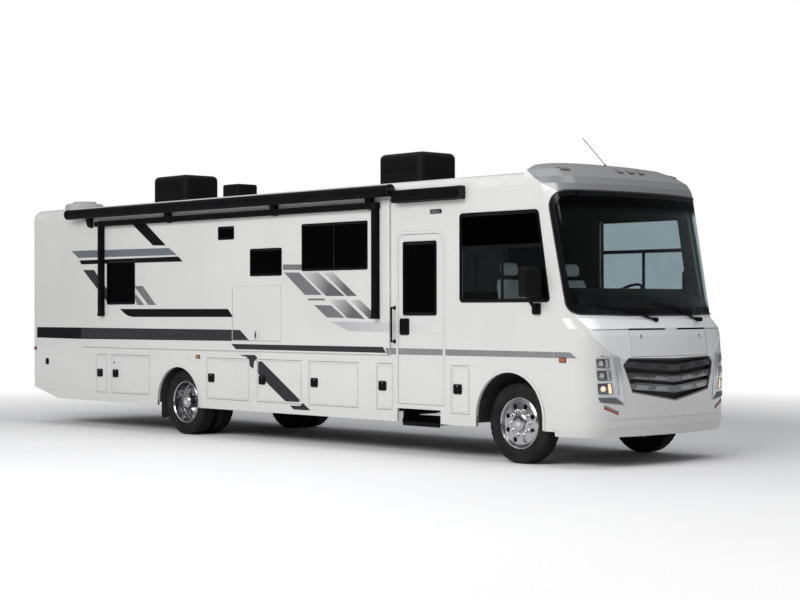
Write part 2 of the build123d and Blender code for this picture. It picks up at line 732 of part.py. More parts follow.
# ---------------------------------------------------------------- slide-out room
def slide_room():
    face_y = (SLIDE_OUT_Y, SLIDE_OUT_Y + SLIDE_FACE)
    face = block(SLIDE_X, face_y, SLIDE_Z)
    bx0, bx1 = SLIDE_BOX_X
    bz0, bz1 = SLIDE_BOX_Z
    wall_y = (face_y[1], face_y[1] + SLIDE_WALL)
    inner_wall = block(SLIDE_BOX_X, wall_y, SLIDE_BOX_Z)
    outer_wall = face + inner_wall
    through = (SLIDE_OUT_Y - 50, wall_y[1] + 50)
    for row in SLIDE_WINDOWS:
        outer_wall -= rounded_window(pane_outline(row), WINDOW_R, through)
    kx0, kx1 = KITCHEN_X
    kz0, kz1 = KITCHEN_Z
    outer_wall -= block((kx0 - DOOR_GAP, kx1 + DOOR_GAP), through, (kz0 - DOOR_GAP, kz1 + DOOR_GAP))
    save("slide_wall", outer_wall)
    y = (wall_y[1], SLIDE_BACK_Y)
    box = block(SLIDE_BOX_X, y, SLIDE_BOX_Z)
    box -= block((bx0 + SLIDE_WALL, bx1 - SLIDE_WALL), (y[0] - 10, y[1] + 10), (bz0 + SLIDE_WALL, bz1 - SLIDE_WALL))
    pane_y = (SLIDE_OUT_Y + 3, SLIDE_OUT_Y + 3 + GLASS)
    save("slide_windows", *[pane(pane_outline(row), pane_y) for row in SLIDE_WINDOWS])
    tray_y = (wall_y[1] + FIT, wall_y[1] + KITCHEN_DEPTH)
    tray = block((kx0 - 30, kx1 + 30), tray_y, (kz0 - 30, kz1 + 30))
    tray -= block((kx0 - 15, kx1 + 15), (tray_y[0] - 10, tray_y[1] - 15), (kz0 - 15, kz1 + 15))
    save("slide_box", box, tray)
    door = block((kx0, kx1), (SLIDE_OUT_Y, SLIDE_OUT_Y + KITCHEN_THICK), (kz0, kz1))
    door += rod((kx0, SLIDE_OUT_Y, kz1), (kx1, SLIDE_OUT_Y, kz1), HINGE_R)
    door += block((st(-4700), st(-4570)), (SLIDE_OUT_Y, SLIDE_OUT_Y - 8), (1376, 1475))
    save("kitchen_door", door)


AWNING_R = 72.0
AWNING_CAP_R = 77.0
AWNING_ELBOW_R = 46.0
AWNING_ELBOW_Z = 3036.0
AWNING_ELBOW_X = (st(-8300), st(-2245))
AWNING_X = (st(-9105), st(-1930))
AWNING_Z = 3205.0
AWNING_Y = SLIDE_OUT_Y - 20 - AWNING_R


def awnings():
    """Slide topper roller and patio awning on the slide-out's face, and the small awning over the door."""
    x0, x1 = AWNING_X
    roller = rod((x0, AWNING_Y, AWNING_Z), (x1, AWNING_Y, AWNING_Z), AWNING_R)
    brackets = []
    for station in (-8754, -6750, -4370, -2500):
        x = st(station) + 140
        outline = [(SLIDE_OUT_Y, 3100), (SLIDE_OUT_Y, 2990), (SLIDE_OUT_Y - 50, 3020), (AWNING_Y, AWNING_Z - 20), (AWNING_Y + 60, AWNING_Z)]
        face = make_face(Polyline([(x - 50, py, pz) for py, pz in outline], close=True))
        brackets.append(extrude(face, amount=100, dir=(1, 0, 0)))
    rail_y = (SLIDE_OUT_Y - 75, SLIDE_OUT_Y)
    rail = block((st(-8440), st(-2200)), (SLIDE_OUT_Y - 75, SLIDE_OUT_Y - 10), (3000, 3078))
    arms = [block((st(-8331), st(-8264)), rail_y, (1670, 3000)), block((st(-2284), st(-2214)), rail_y, (1649, 3000))]
    caps = []
    for x in AWNING_X:
        caps.append(rod((x - 15, AWNING_Y, AWNING_Z), (x + 15, AWNING_Y, AWNING_Z), AWNING_CAP_R))
    elbows = []
    for x in AWNING_ELBOW_X:
        elbows.append(rod((x, rail_y[0] - 8, AWNING_ELBOW_Z), (x, rail_y[1], AWNING_ELBOW_Z), AWNING_ELBOW_R))
    save("patio_awning", join([roller, rail] + caps + elbows + brackets + arms))
    case = block((st(-1905), st(-765)), (-HALF - 120, -HALF), (3050, 3205))
    case = fillet(case.edges().filter_by(Axis.X).sort_by(Axis.Y)[:2], 30)
    save("door_awning", case)


# ---------------------------------------------------------------- roof gear
def roof_z(y):
    """Height of the roof's outer face at y."""
    flat = HALF - EAVE_R
    crown = ROOF_CROWN
    radius = (flat ** 2 + crown ** 2) / (2 * crown)
    return EAVE_Z + EAVE_R + crown - (radius - sqrt(radius ** 2 - y ** 2))


def shroud(x, y, half_x, half_y, top, corner, shoulder):
    """Moulded cover with rounded corners and shoulders, set on the crowned roof."""
    foot = roof_z(abs(y) + half_y) - 12
    cover = block((x - half_x, x + half_x), (y - half_y, y + half_y), (foot, top))
    cover = fillet(cover.edges().filter_by(Axis.Z), corner)
    cover = fillet(cover.faces().sort_by(Axis.Z)[-1].edges(), shoulder)
    return cover - body_solid(0, 2000, (x - half_x - 50, x + half_x + 50))


LOUVRES = 5
LOUVRE_PITCH = 36.0


def air_unit(x, y, half_x, half_y, top, corner, shoulder):
    """Roof air unit: a cover over a wider drip tray, with louvres along both sides."""
    cover = shroud(x, y, half_x, half_y, top, corner, shoulder)
    for side in (RIGHT, LEFT):
        wall = (y + side * (half_y - 10), y + side * (half_y + 10))
        for index in range(LOUVRES):
            z = top - shoulder - 20 - index * LOUVRE_PITCH
            cover -= block((x - half_x + corner + 20, x + half_x - corner - 20), wall, (z - 14, z))
    return cover


def dome(x, y, radius, height):
    """Low round housing with a raised lid, set on the crowned roof."""
    foot = roof_z(abs(y) + radius) - 12
    base = Pos(x, y, foot) * Cylinder(radius, height, align=(Align.CENTER, Align.CENTER, Align.MIN))
    base = fillet(base.edges().sort_by(Axis.Z)[-1:], height * 0.45)
    lid = Pos(x, y, foot + height - 5) * Cylinder(radius * 0.62, 38, align=(Align.CENTER, Align.CENTER, Align.MIN))
    lid = fillet(lid.edges().sort_by(Axis.Z)[-1:], 22)
    return base + lid - body_solid(0, 2000, (x - radius - 50, x + radius + 50))


def roof_gear():
    # x, y, half length, half width, top, corner, shoulder
    units = [
        (st(-2900), 0, 430, 330, 3795, 110, 75),
        (st(-8016), 0, 430, 330, 3795, 110, 75),
    ]
    vent = shroud(st(-6676), 0, 190, 190, 3600, 45, 30)
    save("roof_units", *[air_unit(*row) for row in units], vent, dome(st(-9750), -700, 300, 110))


# ---------------------------------------------------------------- chassis
# cross-members between the rails, and outriggers that carry the floor, at these stations
CROSS_MEMBERS = [-10000, -8700, -7400, -5300, -4000, -2700, -1100, 850]
OUTRIGGERS = [-10000, -8830, -7060, -5870, -4754, -3672, -2580, 680]


def frame():
    """Two channel rails, with cross-members between their webs and outriggers on posts above them."""
    rails, members = [], []
    x = (REAR_X + 180, st(900))
    z0, z1 = RAIL_TOP - RAIL_DEPTH, RAIL_TOP
    for side in (RIGHT, LEFT):
        y = side * RAIL_Y
        web = block(x, (y, y - side * RAIL_WALL), (z0, z1))
        flanges = [block(x, (y, y - side * RAIL_FLANGE), (z, z + RAIL_WALL)) for z in (z0, z1 - RAIL_WALL)]
        rails.append(join([web] + flanges))
    reach = RAIL_Y - RAIL_WALL - FIT
    for station in CROSS_MEMBERS:
        members.append(block((st(station) - 30, st(station) + 30), (-reach, reach), (z1 - 150, z1 - 30)))
    beam_z = (FLOOR_BOTTOM - 30, FLOOR_BOTTOM)
    for station in OUTRIGGERS:
        width = (st(station) - 25, st(station) + 25)
        beam_end = SKIRT_IN - FIT if station < SEAM[0][0] else WALL_IN - FIT
        members.append(block(width, (-beam_end, beam_end), beam_z))
        for side in (RIGHT, LEFT):
            members.append(block(width, (side * (RAIL_Y - 60), side * RAIL_Y), (z1 + FIT, beam_z[0] - FIT)))
    save("frame_rails", *rails, *members)


PIN_R = 24.0
SPINDLE_R = 32.0
AXLE_Z = TYRE_R
WHEEL_MID_Y = TYRE_OUTER_Y - TYRE_WIDTH / 2
KNUCKLE_Z = (AXLE_Z - 95, AXLE_Z + 95)


def front_axle():
    """Forged I-beam that drops between the springs, with an eye for each kingpin."""
    eye_z = (AXLE_Z - 48, AXLE_Z + 48)
    outline = [(-KINGPIN_Y, eye_z[0]), (-825, eye_z[0]), (-700, 385), (-560, 335), (560, 335), (700, 385),
               (825, eye_z[0]), (KINGPIN_Y, eye_z[0]),
               (KINGPIN_Y, eye_z[1]), (690, 470), (540, 425), (-540, 425), (-690, 470), (-KINGPIN_Y, eye_z[1])]
    beam = front_profile(outline, (st(-45), st(45)))
    groove = [(-600, 360), (-600, 400), (600, 400), (600, 360)]
    beam -= front_profile(groove, (st(18), st(60)))
    beam -= front_profile(groove, (st(-60), st(-18)))
    for side in (RIGHT, LEFT):
        y = side * KINGPIN_Y
        beam += rod((st(0), y, eye_z[0]), (st(0), y, eye_z[1]), 62)
        beam -= rod((st(0), y, eye_z[0] - 5), (st(0), y, eye_z[1] + 5), PIN_R + 0.05)
    save("front_axle", beam)


def knuckles():
    for name, side in SIDES.items():
        y = side * KINGPIN_Y
        parts = [rod((st(0), y, KNUCKLE_Z[0]), (st(0), y, KNUCKLE_Z[1]), PIN_R)]
        for z0, z1 in ((KNUCKLE_Z[0], AXLE_Z - 49), (AXLE_Z + 49, KNUCKLE_Z[1])):
            parts.append(rod((st(0), y, z0), (st(0), y, z1), 58))
            parts.append(block((st(-50), st(50)), (y, y + side * 85), (z0, z1)))
        plate = block((st(-60), st(60)), (y + side * 68, y + side * 92), KNUCKLE_Z)
        spindle = rod((st(0), y + side * 80, AXLE_Z), (st(0), side * (TYRE_OUTER_Y - 10), AXLE_Z), SPINDLE_R)
        arm_z = (KNUCKLE_Z[0], KNUCKLE_Z[0] + 24)
        arm = block((st(-TIE_BACK), st(-30)), (y - side * 24, y + side * 24), arm_z)
        arm += rod((st(-TIE_BACK), y, arm_z[0]), (st(-TIE_BACK), y, arm_z[1]), 30)
        arm -= rod((st(-TIE_BACK), y, arm_z[0] - 5), (st(-TIE_BACK), y, arm_z[1] + 5), TIE_PIN_R + 0.05)
        save(f"knuckle_{name}", join(parts + [plate, spindle, arm]))


TIE_BACK = 210.0
TIE_PIN_R = 11.0


def tie_rod():
    """Bar between the two steering arms, with a pin up through each arm's eye."""
    z = KNUCKLE_Z[0] - 20
    parts = [rod((st(-TIE_BACK), -KINGPIN_Y, z), (st(-TIE_BACK), KINGPIN_Y, z), 17)]
    for side in (RIGHT, LEFT):
        y = side * KINGPIN_Y
        radius = TIE_PIN_R if side == LEFT else TIE_PIN_R - 2
        parts.append(rod((st(-TIE_BACK), y, z - 19), (st(-TIE_BACK), y, KNUCKLE_Z[0] - FIT), 24))
        parts.append(rod((st(-TIE_BACK), y, z), (st(-TIE_BACK), y, KNUCKLE_Z[0] + 24), radius))
    save("tie_rod", join(parts))


def rear_axle():
    """Banjo housing with its differential, and a round tube out to each hub."""
    x = REAR_AXLE_X
    tube = rod((x, -HUB_IN_Y, AXLE_Z), (x, HUB_IN_Y, AXLE_Z), 62)
    pumpkin = Pos(x, 0, AXLE_Z) * scale(Sphere(200), (1, 0.9, 1))
    nose = rod((x, 0, AXLE_Z), (x + 300, 0, AXLE_Z + 20), 85)
    shaft = rod((x + 300, 0, AXLE_Z + 20), (ENGINE_X[0] + 50, 0, 640), 45)
    shaft &= block((x, ENGINE_X[0] - FIT), (-50, 50), (0, FLOOR_BOTTOM))
    axle = tube + pumpkin + nose + shaft
    for side in (RIGHT, LEFT):
        axle += rod((x, side * HUB_IN_Y, AXLE_Z), (x, side * (TYRE_OUTER_Y - 30), AXLE_Z), SPINDLE_R)
    save("rear_axle", axle)


ENGINE_X = (st(-350), st(560))
HUB_IN_Y = 720.0
SPRING_Y = 395.0
LEAF = 13.0
LEAF_HALF_WIDTH = 38.0


def springs():
    """Packs of leaves bent to one centre, each leaf shorter than the one above it."""
    packs = []
    # axle x, half length, underside z, sag, leaves
    for x, half, base_z, sag, leaves in [(st(0), 640, 425, 120, 3), (REAR_AXLE_X, 720, AXLE_Z + 62, 30, 4)]:
        bend = (half**2 + sag**2) / (2 * sag)
        centre_z = base_z + leaves * LEAF + bend
        end_z = base_z + leaves * LEAF + sag
        for side in (RIGHT, LEFT):
            y = (side * SPRING_Y - LEAF_HALF_WIDTH, side * SPRING_Y + LEAF_HALF_WIDTH)
            pack = []
            for leaf in range(leaves):
                reach = half * (1 - 0.22 * leaf)
                ends = [(x, yy, centre_z) for yy in y]
                band = rod(*ends, bend + LEAF * (leaf + 1)) - rod(*ends, bend + LEAF * leaf)
                pack.append(band & block((x - reach, x + reach), y, (base_z - LEAF, end_z + LEAF)))
            for end in (-half, half):
                pack.append(block((x + end - 25, x + end + 25), y, (end_z - LEAF, RAIL_TOP - RAIL_DEPTH)))
            packs.append(join(pack))
    save("leaf_springs", *packs)


def drivetrain():
    engine = block(ENGINE_X, (-300, 300), (520, FLOOR_BOTTOM - 40))
    for side in (RIGHT, LEFT):
        engine += block((st(0), st(120)), (side * 290, side * (RAIL_Y - RAIL_WALL - FIT)), (690, 740))
    save("engine", engine, block((st(900 + FIT), st(960)), (-420, 420), (560, 1130)))
    tank = block((st(-9300), st(-8300)), (-340, 340), (470, RAIL_TOP - 150 - FIT))
    tank = fillet(tank.edges().filter_by(Axis.X), 40)
    save("fuel_tank", tank)
    pipe = rod((st(-350), -200, 560), (st(-5200), -200, 560), 38)
    muffler = rod((st(-4300), -200, 560), (st(-3300), -200, 560), 95)
    save("exhaust", pipe + muffler)


def wheel_wells():
    """Round-topped liner over each wheel, open to the outside, with a flap behind each rear pair."""
    wells = []
    for row, inner in ((FRONT_WELL, 470), (REAR_WELL, 560)):
        station, z, radius = row
        x = st(station)
        for side in (RIGHT, LEFT):
            y = (side * inner, side * (SKIRT_IN - FIT))
            hollow = arch(row, (side * (inner + WELL_WALL), side * (SKIRT_IN + 10)))
            shell = arch(row, y, WELL_WALL) - hollow
            shell &= block((x - 700, x + 700), y, (WELL_FOOT, 1109))
            shell -= block((x - 110, x + 110), (side * inner, side * (inner + 20)), (WELL_FOOT, AXLE_Z + 90))
            if row is REAR_WELL:
                back = x - radius - WELL_WALL
                shell += block((back - 8, back), (side * 640, side * 1215), (215, z))
            wells.append(shell)
    save("wheel_wells", *wells)


RECEIVER_Z = 520.0
RECEIVER_OUT = 31.75
RECEIVER_IN = 25.5
HITCH_PIN_R = 8.2
HITCH_PIN_SET = 66.0


def hitch():
    """Square receiver tube under the tail, on a cross bar between the frame rails."""
    mouth = REAR_X + 30
    tube = block((mouth, mouth + 330), (-RECEIVER_OUT, RECEIVER_OUT), (RECEIVER_Z - RECEIVER_OUT, RECEIVER_Z + RECEIVER_OUT))
    bar = block((mouth + 160, mouth + 235), (-RAIL_Y - 10, RAIL_Y + 10), (RECEIVER_Z - 38, RECEIVER_Z + 38))
    hitch_body = tube + bar
    for side in (RIGHT, LEFT):
        y = (side * RAIL_Y, side * (RAIL_Y + 10))
        hitch_body += block((mouth + 150, mouth + 290), y, (RECEIVER_Z - 38, RAIL_TOP - 20))
    hitch_body -= block((mouth - 5, mouth + 235), (-RECEIVER_IN, RECEIVER_IN), (RECEIVER_Z - RECEIVER_IN, RECEIVER_Z + RECEIVER_IN))
    pin_x = mouth + HITCH_PIN_SET
    hitch_body -= rod((pin_x, -60, RECEIVER_Z), (pin_x, 60, RECEIVER_Z), HITCH_PIN_R)
    save("hitch_receiver", hitch_body)


# ---------------------------------------------------------------- wheels
TYRE_FACETS = 40


def facet_loop(radius, y, x):
    """Regular loop round a wheel's axis whose flats, one of them downwards, lie at radius."""
    corner = radius / cos(pi / TYRE_FACETS)
    turns = [2 * pi * (index + 0.5) / TYRE_FACETS for index in range(TYRE_FACETS)]
    return Polyline([(x + corner * sin(turn), y, AXLE_Z + corner * cos(turn)) for turn in turns], close=True)


def tyre(centre_y, x):
    """Road tyre as a ring of flat facets, from bead to bead over the tread."""
    half = TYRE_WIDTH / 2
    # radius, share of the half width
    side_wall = [(RIM_R + 4, 0.78), (RIM_R + 55, 0.98), (RIM_R + 95, 1), (TYRE_R - 38, 0.93), (TYRE_R - 10, 0.84),
                 (TYRE_R, 0.68)]
    outline = [(radius, -share) for radius, share in side_wall] + side_wall[::-1]
    loops = [facet_loop(radius, centre_y + share * half, x) for radius, share in outline]
    bore = [facet_loop(RIM_R, centre_y + share * half, x) for share in (-1, 1)]
    return Solid.make_loft(loops, ruled=True) - Solid.make_loft(bore, ruled=True)


def rim_barrel(half):
    """Rim section between its two flanges, (radius, y)."""
    r = RIM_R - FIT
    return [(r, -half), (r + 6, -half - 4), (r - 4, -half - 10), (r - 16, -half + 2), (r - 26, -half + 40),
            (r - 26, half - 40), (r - 16, half - 2), (r - 4, half + 10), (r + 6, half + 4), (r, half)]


HAND_HOLES = 8
STUDS = 10
STUD_PCD = 285.75


def wheel_holes(disc, x, y0, y1):
    for index in range(HAND_HOLES):
        turn = 2 * pi * (index + 0.5) / HAND_HOLES
        hx, hz = x + 205 * cos(turn), AXLE_Z + 205 * sin(turn)
        disc -= rod((hx, y0, hz), (hx, y1, hz), 30)
    return disc


def lug_nuts(x, y0, y1):
    nuts = []
    for index in range(STUDS):
        turn = 2 * pi * index / STUDS
        nx, nz = x + STUD_PCD / 2 * cos(turn), AXLE_Z + STUD_PCD / 2 * sin(turn)
        nuts.append(rod((nx, y0, nz), (nx, y1, nz), 17))
    return nuts


def front_wheels():
    x = st(0)
    rim_half = TYRE_WIDTH / 2 * 0.78 + FIT
    for name, side in SIDES.items():
        save(f"tyre_front_{name}", tyre(side * WHEEL_MID_Y, x))
        centre = (x, side * WHEEL_MID_Y, AXLE_Z)
        barrel = spin_y(rim_barrel(rim_half), centre)
        dish = [(RIM_R - 12, side * 34), (240, side * 60), (105, side * 66), (105, side * 84), (244, side * 76), (RIM_R - 12, side * 52)]
        disc = spin_y(dish, centre)
        disc = wheel_holes(disc, x, centre[1] + side * 20, centre[1] + side * 110)
        hub = [(SPINDLE_R + FIT, side * -60), (95, side * -60), (110, side * 66), (110, side * 84), (92, side * 92),
               (84, side * 112), (50, side * 117), (0, side * 117), (0, side * 108), (SPINDLE_R + FIT, side * 108)]
        hub_solid = spin_y(hub, centre)
        nuts = lug_nuts(x, centre[1] + side * 78, centre[1] + side * 102)
        save(f"rim_front_{name}", join([barrel, disc, hub_solid] + nuts))


def rear_wheels():
    x = REAR_AXLE_X
    rim_half = TYRE_WIDTH / 2 * 0.78 + FIT
    for name, side in SIDES.items():
        outer_y = side * WHEEL_MID_Y
        inner_y = side * (WHEEL_MID_Y - DUAL_PITCH)
        save(f"tyres_rear_{name}", tyre(outer_y, x), tyre(inner_y, x))
        parts = []
        for y in (outer_y, inner_y):
            barrel = spin_y(rim_barrel(rim_half), (x, y, AXLE_Z))
            parts.append(barrel)
        mid = (x, side * (WHEEL_MID_Y - DUAL_PITCH / 2), AXLE_Z)
        dish = [(RIM_R - 12, side * 112), (RIM_R - 34, side * 100), (228, side * 14), (105, side * 14), (105, side * -14),
                (228, side * -14), (RIM_R - 34, side * -100), (RIM_R - 12, side * -112), (250, side * -20), (250, side * 20)]
        disc = wheel_holes(spin_y(dish, mid), x, mid[1] - 60, mid[1] + 60)
        hub_out = side * (TYRE_OUTER_Y - 22) - mid[1]
        hub = [(SPINDLE_R + FIT, side * -60), (110, side * -60), (110, side * 30), (92, side * 60), (86, hub_out - side * 20),
               (60, hub_out), (0, hub_out), (0, hub_out - side * 7), (SPINDLE_R + FIT, hub_out - side * 7)]
        nuts = lug_nuts(x, mid[1] + side * 10, mid[1] + side * 36)
        save(f"rims_rear_{name}", join(parts + [disc, spin_y(hub, mid)] + nuts))


# ---------------------------------------------------------------- cab
SEAT_Y = 560.0
SEAT_X = st(-450)
SEAT_BASE = 260.0


def seats():
    """Cushion and backrest of each cab seat, on the pedestals of the floor."""
    soft = []
    seat_top = FLOOR_TOP + SEAT_BASE
    pad_top = seat_top + 170
    for side in (RIGHT, LEFT):
        y = side * SEAT_Y
        base = block((SEAT_X - 260, SEAT_X + 270), (y - 260, y + 260), (seat_top + FIT, pad_top))
        soft.append(fillet(base.edges(), 40))
        outline = [(SEAT_X - 250, pad_top + FIT), (SEAT_X - 120, pad_top + FIT),
                   (SEAT_X - 230, seat_top + 890), (SEAT_X - 340, seat_top + 890)]
        back = side_profile(outline, (y - 250, y + 250))
        soft.append(fillet(back.edges(), 35))
    save("cab_seats", *soft)


def dashboard():
    """Desk under the windscreen that follows the nose, with the steering column out of its top."""
    outline = [(st(520), FLOOR_TOP), (st(520), 1500), (st(330), 1600), (st(350), 1690), (st(1050), 1640),
               (st(1050), FLOOR_TOP)]
    desk = side_profile(outline, (-WALL_IN + 20, WALL_IN - 20)) & nose_solid(60)
    foot = Vector(*WHEEL_HUB) - WHEEL_AXIS * (20 + FIT)
    save("dashboard", desk + rod(foot, foot - WHEEL_AXIS * 360, 30))


WHEEL_HUB = (st(130), SEAT_Y, 1930.0)
WHEEL_LEAN = 55.0
WHEEL_AXIS = Vector(-cos(radians(WHEEL_LEAN)), 0, sin(radians(WHEEL_LEAN)))
STEERING_R = 215.0


def steering_wheel():
    """Rim, spokes and hub on top of the column."""
    face = Plane(origin=WHEEL_HUB, z_dir=WHEEL_AXIS, x_dir=(0, 1, 0))
    ring = face * Torus(STEERING_R, 17)
    hub = face * Cylinder(62, 40)
    spokes = face * Box(2 * STEERING_R - 10, 60, 14)
    low_spoke = face * Pos(0, STEERING_R / 2, 0) * Box(60, STEERING_R - 10, 14)
    save("steering_wheel", join([ring, hub, spokes, low_spoke]))


MIRROR_X = st(430)


def mirrors():
    """Mirror heads on bent arms, from a foot on the nose cap."""
    heads = []
    for side in (RIGHT, LEFT):
        head = block((MIRROR_X - 60, MIRROR_X + 50), (side * 1360, side * 1590), (1890, 2230))
        head = fillet(head.edges().filter_by(Axis.X), 45)
        head = fillet(head.faces().sort_by(Axis.X)[-1].edges(), 28)
        foot = block((st(310), st(420)), (side * HALF, side * (HALF + 32)), (1700, 1830))
        foot = fillet(foot.edges().filter_by(Axis.Y), 22)
        elbow = (st(370), side * (HALF + 50), 1775)
        arm = rod((st(370), side * (HALF + 10), 1775), elbow, 22)
        reach = rod(elbow, (MIRROR_X - 15, side * 1520, 1915), 22)
        heads.append(head + foot + arm + Pos(*elbow) * Sphere(22) + reach)
    save("mirrors", *heads)


GRAB_X = st(-1972)
GRAB_Z = (1370.0, 1780.0)
GRAB_OUT = 60.0
GRAB_R = 13.0


def grab_handle():
    """Bent tube beside the entry door, on two round feet."""
    y = -(HALF + GRAB_OUT)
    low, high = GRAB_Z
    parts = [rod((GRAB_X, y, low), (GRAB_X, y, high), GRAB_R)]
    for z in GRAB_Z:
        parts.append(rod((GRAB_X, y, z), (GRAB_X, -HALF - FIT, z), GRAB_R))
        parts.append(Pos(GRAB_X, y, z) * Sphere(GRAB_R))
        parts.append(rod((GRAB_X, -HALF - 8, z), (GRAB_X, -HALF - FIT, z), 24))
    save("grab_handle", join(parts))


def wipers():
    near, far = nose_solid(-6), nose_solid(-24)
    band = far - near
    blades = []
    # pivot y, tip y, tip z
    for pivot_y, tip_y, tip_z in [(-180, -1010, 1800), (640, -120, 1830)]:
        pivot_z = 1640
        arm = front_hole(strip((pivot_y, pivot_z), ((tip_y + pivot_y) / 2, (tip_z + pivot_z) / 2 + 30), 22))
        blade = front_hole(strip((pivot_y - 60, 1720), (tip_y, tip_z), 26))
        pin = rod((NOSE_X - 240, pivot_y, pivot_z), (NOSE_X - 110, pivot_y, pivot_z), 26) - NOSE_OUT
        blades.append(join([band & (arm + blade), pin]))
    save("wipers", *blades)


def strip(start, end, width):
    """Thin quadrilateral in front view around the line from start to end."""
    y0, z0 = start
    y1, z1 = end
    length = sqrt((y1 - y0) ** 2 + (z1 - z0) ** 2)
    ny, nz = -(z1 - z0) / length * width / 2, (y1 - y0) / length * width / 2
    return [(y0 + ny, z0 + nz), (y1 + ny, z1 + nz), (y1 - ny, z1 - nz), (y0 - ny, z0 - nz)]


os.makedirs("parts", exist_ok=True)
front_cap()
hood()
windscreen()
grille()
lamps()
walls()
skirts()
roof()
rear_cap()
floor()
entry_well()
entry_step()
bays()
luggage_doors()
entry_door()
side_windows()
slide_room()
awnings()
roof_gear()
frame()
front_axle()
knuckles()
tie_rod()
rear_axle()
springs()
drivetrain()
wheel_wells()
hitch()
front_wheels()
rear_wheels()
seats()
dashboard()
steering_wheel()
mirrors()
grab_handle()
wipers()
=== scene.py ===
"""Looks of a full-size motorhome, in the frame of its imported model. Metres, +X forward, +Y left, +Z up."""
import math

import bmesh
import bpy
from mathutils import Matrix, Vector


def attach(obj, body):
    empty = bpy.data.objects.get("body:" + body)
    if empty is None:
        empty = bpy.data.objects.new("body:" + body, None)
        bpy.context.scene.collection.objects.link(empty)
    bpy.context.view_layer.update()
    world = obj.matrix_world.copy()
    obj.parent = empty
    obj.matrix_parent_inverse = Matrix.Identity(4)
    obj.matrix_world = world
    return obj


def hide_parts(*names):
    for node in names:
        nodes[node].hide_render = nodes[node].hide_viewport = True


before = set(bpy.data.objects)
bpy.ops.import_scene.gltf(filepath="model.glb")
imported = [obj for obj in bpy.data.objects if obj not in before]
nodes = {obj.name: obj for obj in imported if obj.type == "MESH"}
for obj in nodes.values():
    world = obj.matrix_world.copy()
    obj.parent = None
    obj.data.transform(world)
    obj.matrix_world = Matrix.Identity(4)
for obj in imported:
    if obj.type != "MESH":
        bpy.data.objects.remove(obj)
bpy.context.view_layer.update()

# ---------------------------------------------------------------- sizes, as in the model
HALF = 1.2825
NOSE_X = 5.82
REAR_X = -5.82
FRONT_AXLE_X = 4.52
REAR_AXLE_X = -1.88
AXLE_Z = 0.46
TYRE_WIDTH = 0.235
WHEEL_MID_Y = 1.0925
DUAL_PITCH = 0.318
STUD_R = 0.285750 / 2
SLIDE_Y = 1.3085
# panels as x0, x1, z0, z1
SLIDE = (-4.387, 2.48, 1.205, 3.105)
ENTRY = (2.617, 3.382, 0.62, 2.661)
KITCHEN = (-0.645, 0.386, 1.348, 2.075)
SEAM_X = 5.129
REAR_SEAM_X = -5.69
RIGHT, LEFT = -1, 1
SIDES = {"right": RIGHT, "left": LEFT}
# walls as side and half width
RIGHT_WALL, LEFT_WALL, SLIDE_WALL = (RIGHT, HALF), (LEFT, HALF), (RIGHT, SLIDE_Y)
WALLS = {"right": RIGHT_WALL, "left": LEFT_WALL}
NOSE_RADIUS = 4.0
# z, set-back of the centre line, set-in of each side, corner radius
NOSE_SECTIONS = [
    (0.345, 0.045, 0.026, 0.330),
    (0.430, 0.012, 0.004, 0.350),
    (0.560, 0.000, 0.000, 0.355),
    (1.000, 0.000, 0.000, 0.355),
    (1.235, 0.010, 0.000, 0.355),
    (1.460, 0.028, 0.000, 0.355),
    (1.545, 0.052, 0.000, 0.355),
    (1.660, 0.165, 0.000, 0.355),
    (3.090, 0.415, 0.000, 0.355),
    (3.170, 0.440, 0.002, 0.355),
    (3.250, 0.490, 0.020, 0.355),
    (3.345, 0.640, 0.095, 0.370),
    (3.410, 0.800, 0.230, 0.380),
    (3.440, 0.960, 0.420, 0.380),
]


def st(x):
    """X of a station measured from the front axle."""
    return FRONT_AXLE_X + x


def lerp(a, b, t):
    """Point that lies t of the way from a to b."""
    return tuple(p + (q - p) * t for p, q in zip(a, b))


def nose_x(y, z):
    """X of the nose's outer face at y and z."""
    z = min(max(z, NOSE_SECTIONS[0][0]), NOSE_SECTIONS[-1][0])
    for low, high in zip(NOSE_SECTIONS, NOSE_SECTIONS[1:]):
        if low[0] <= z <= high[0]:
            break
    back, set_in, corner = lerp(low[1:], high[1:], (z - low[0]) / (high[0] - low[0]))
    centre_x = NOSE_X - back - NOSE_RADIUS
    corner_y = HALF - set_in - corner
    corner_x = centre_x + math.sqrt((NOSE_RADIUS - corner) ** 2 - corner_y**2)
    meet_y = NOSE_RADIUS * math.sin(math.atan2(corner_y, corner_x - centre_x))
    if abs(y) <= meet_y:
        return centre_x + math.sqrt(NOSE_RADIUS**2 - y * y)
    return corner_x + math.sqrt(max(corner**2 - (abs(y) - corner_y) ** 2, 0.0))


def nose_y(x, z):
    """Half width of the nose at x and z."""
    low_y, high_y = 0.0, HALF
    if nose_x(HALF - 1e-4, z) >= x:
        return HALF
    for _ in range(40):
        mid = (low_y + high_y) / 2
        low_y, high_y = (mid, high_y) if nose_x(mid, z) > x else (low_y, mid)
    return low_y


def nose_normal(y, z, step=0.004):
    """Outward direction of the nose at y and z."""
    slope_y = (nose_x(y - step, z) - nose_x(y + step, z)) / (2 * step)
    slope_z = (nose_x(y, z - step) - nose_x(y, z + step)) / (2 * step)
    return Vector((1.0, slope_y, slope_z)).normalized()


# ---------------------------------------------------------------- node trees
# short names of the principled shader's inputs
INPUTS = {
    "colour": "Base Color", "rough": "Roughness", "metal": "Metallic", "coat": "Coat Weight",
    "coat_rough": "Coat Roughness", "sheen": "Sheen Weight", "spec": "Specular IOR Level", "ior": "IOR",
    "clear": "Transmission Weight", "glow": "Emission Color", "glow_power": "Emission Strength",
}


def shade(colour, factor):
    return tuple(min(1.0, c * factor) for c in colour)


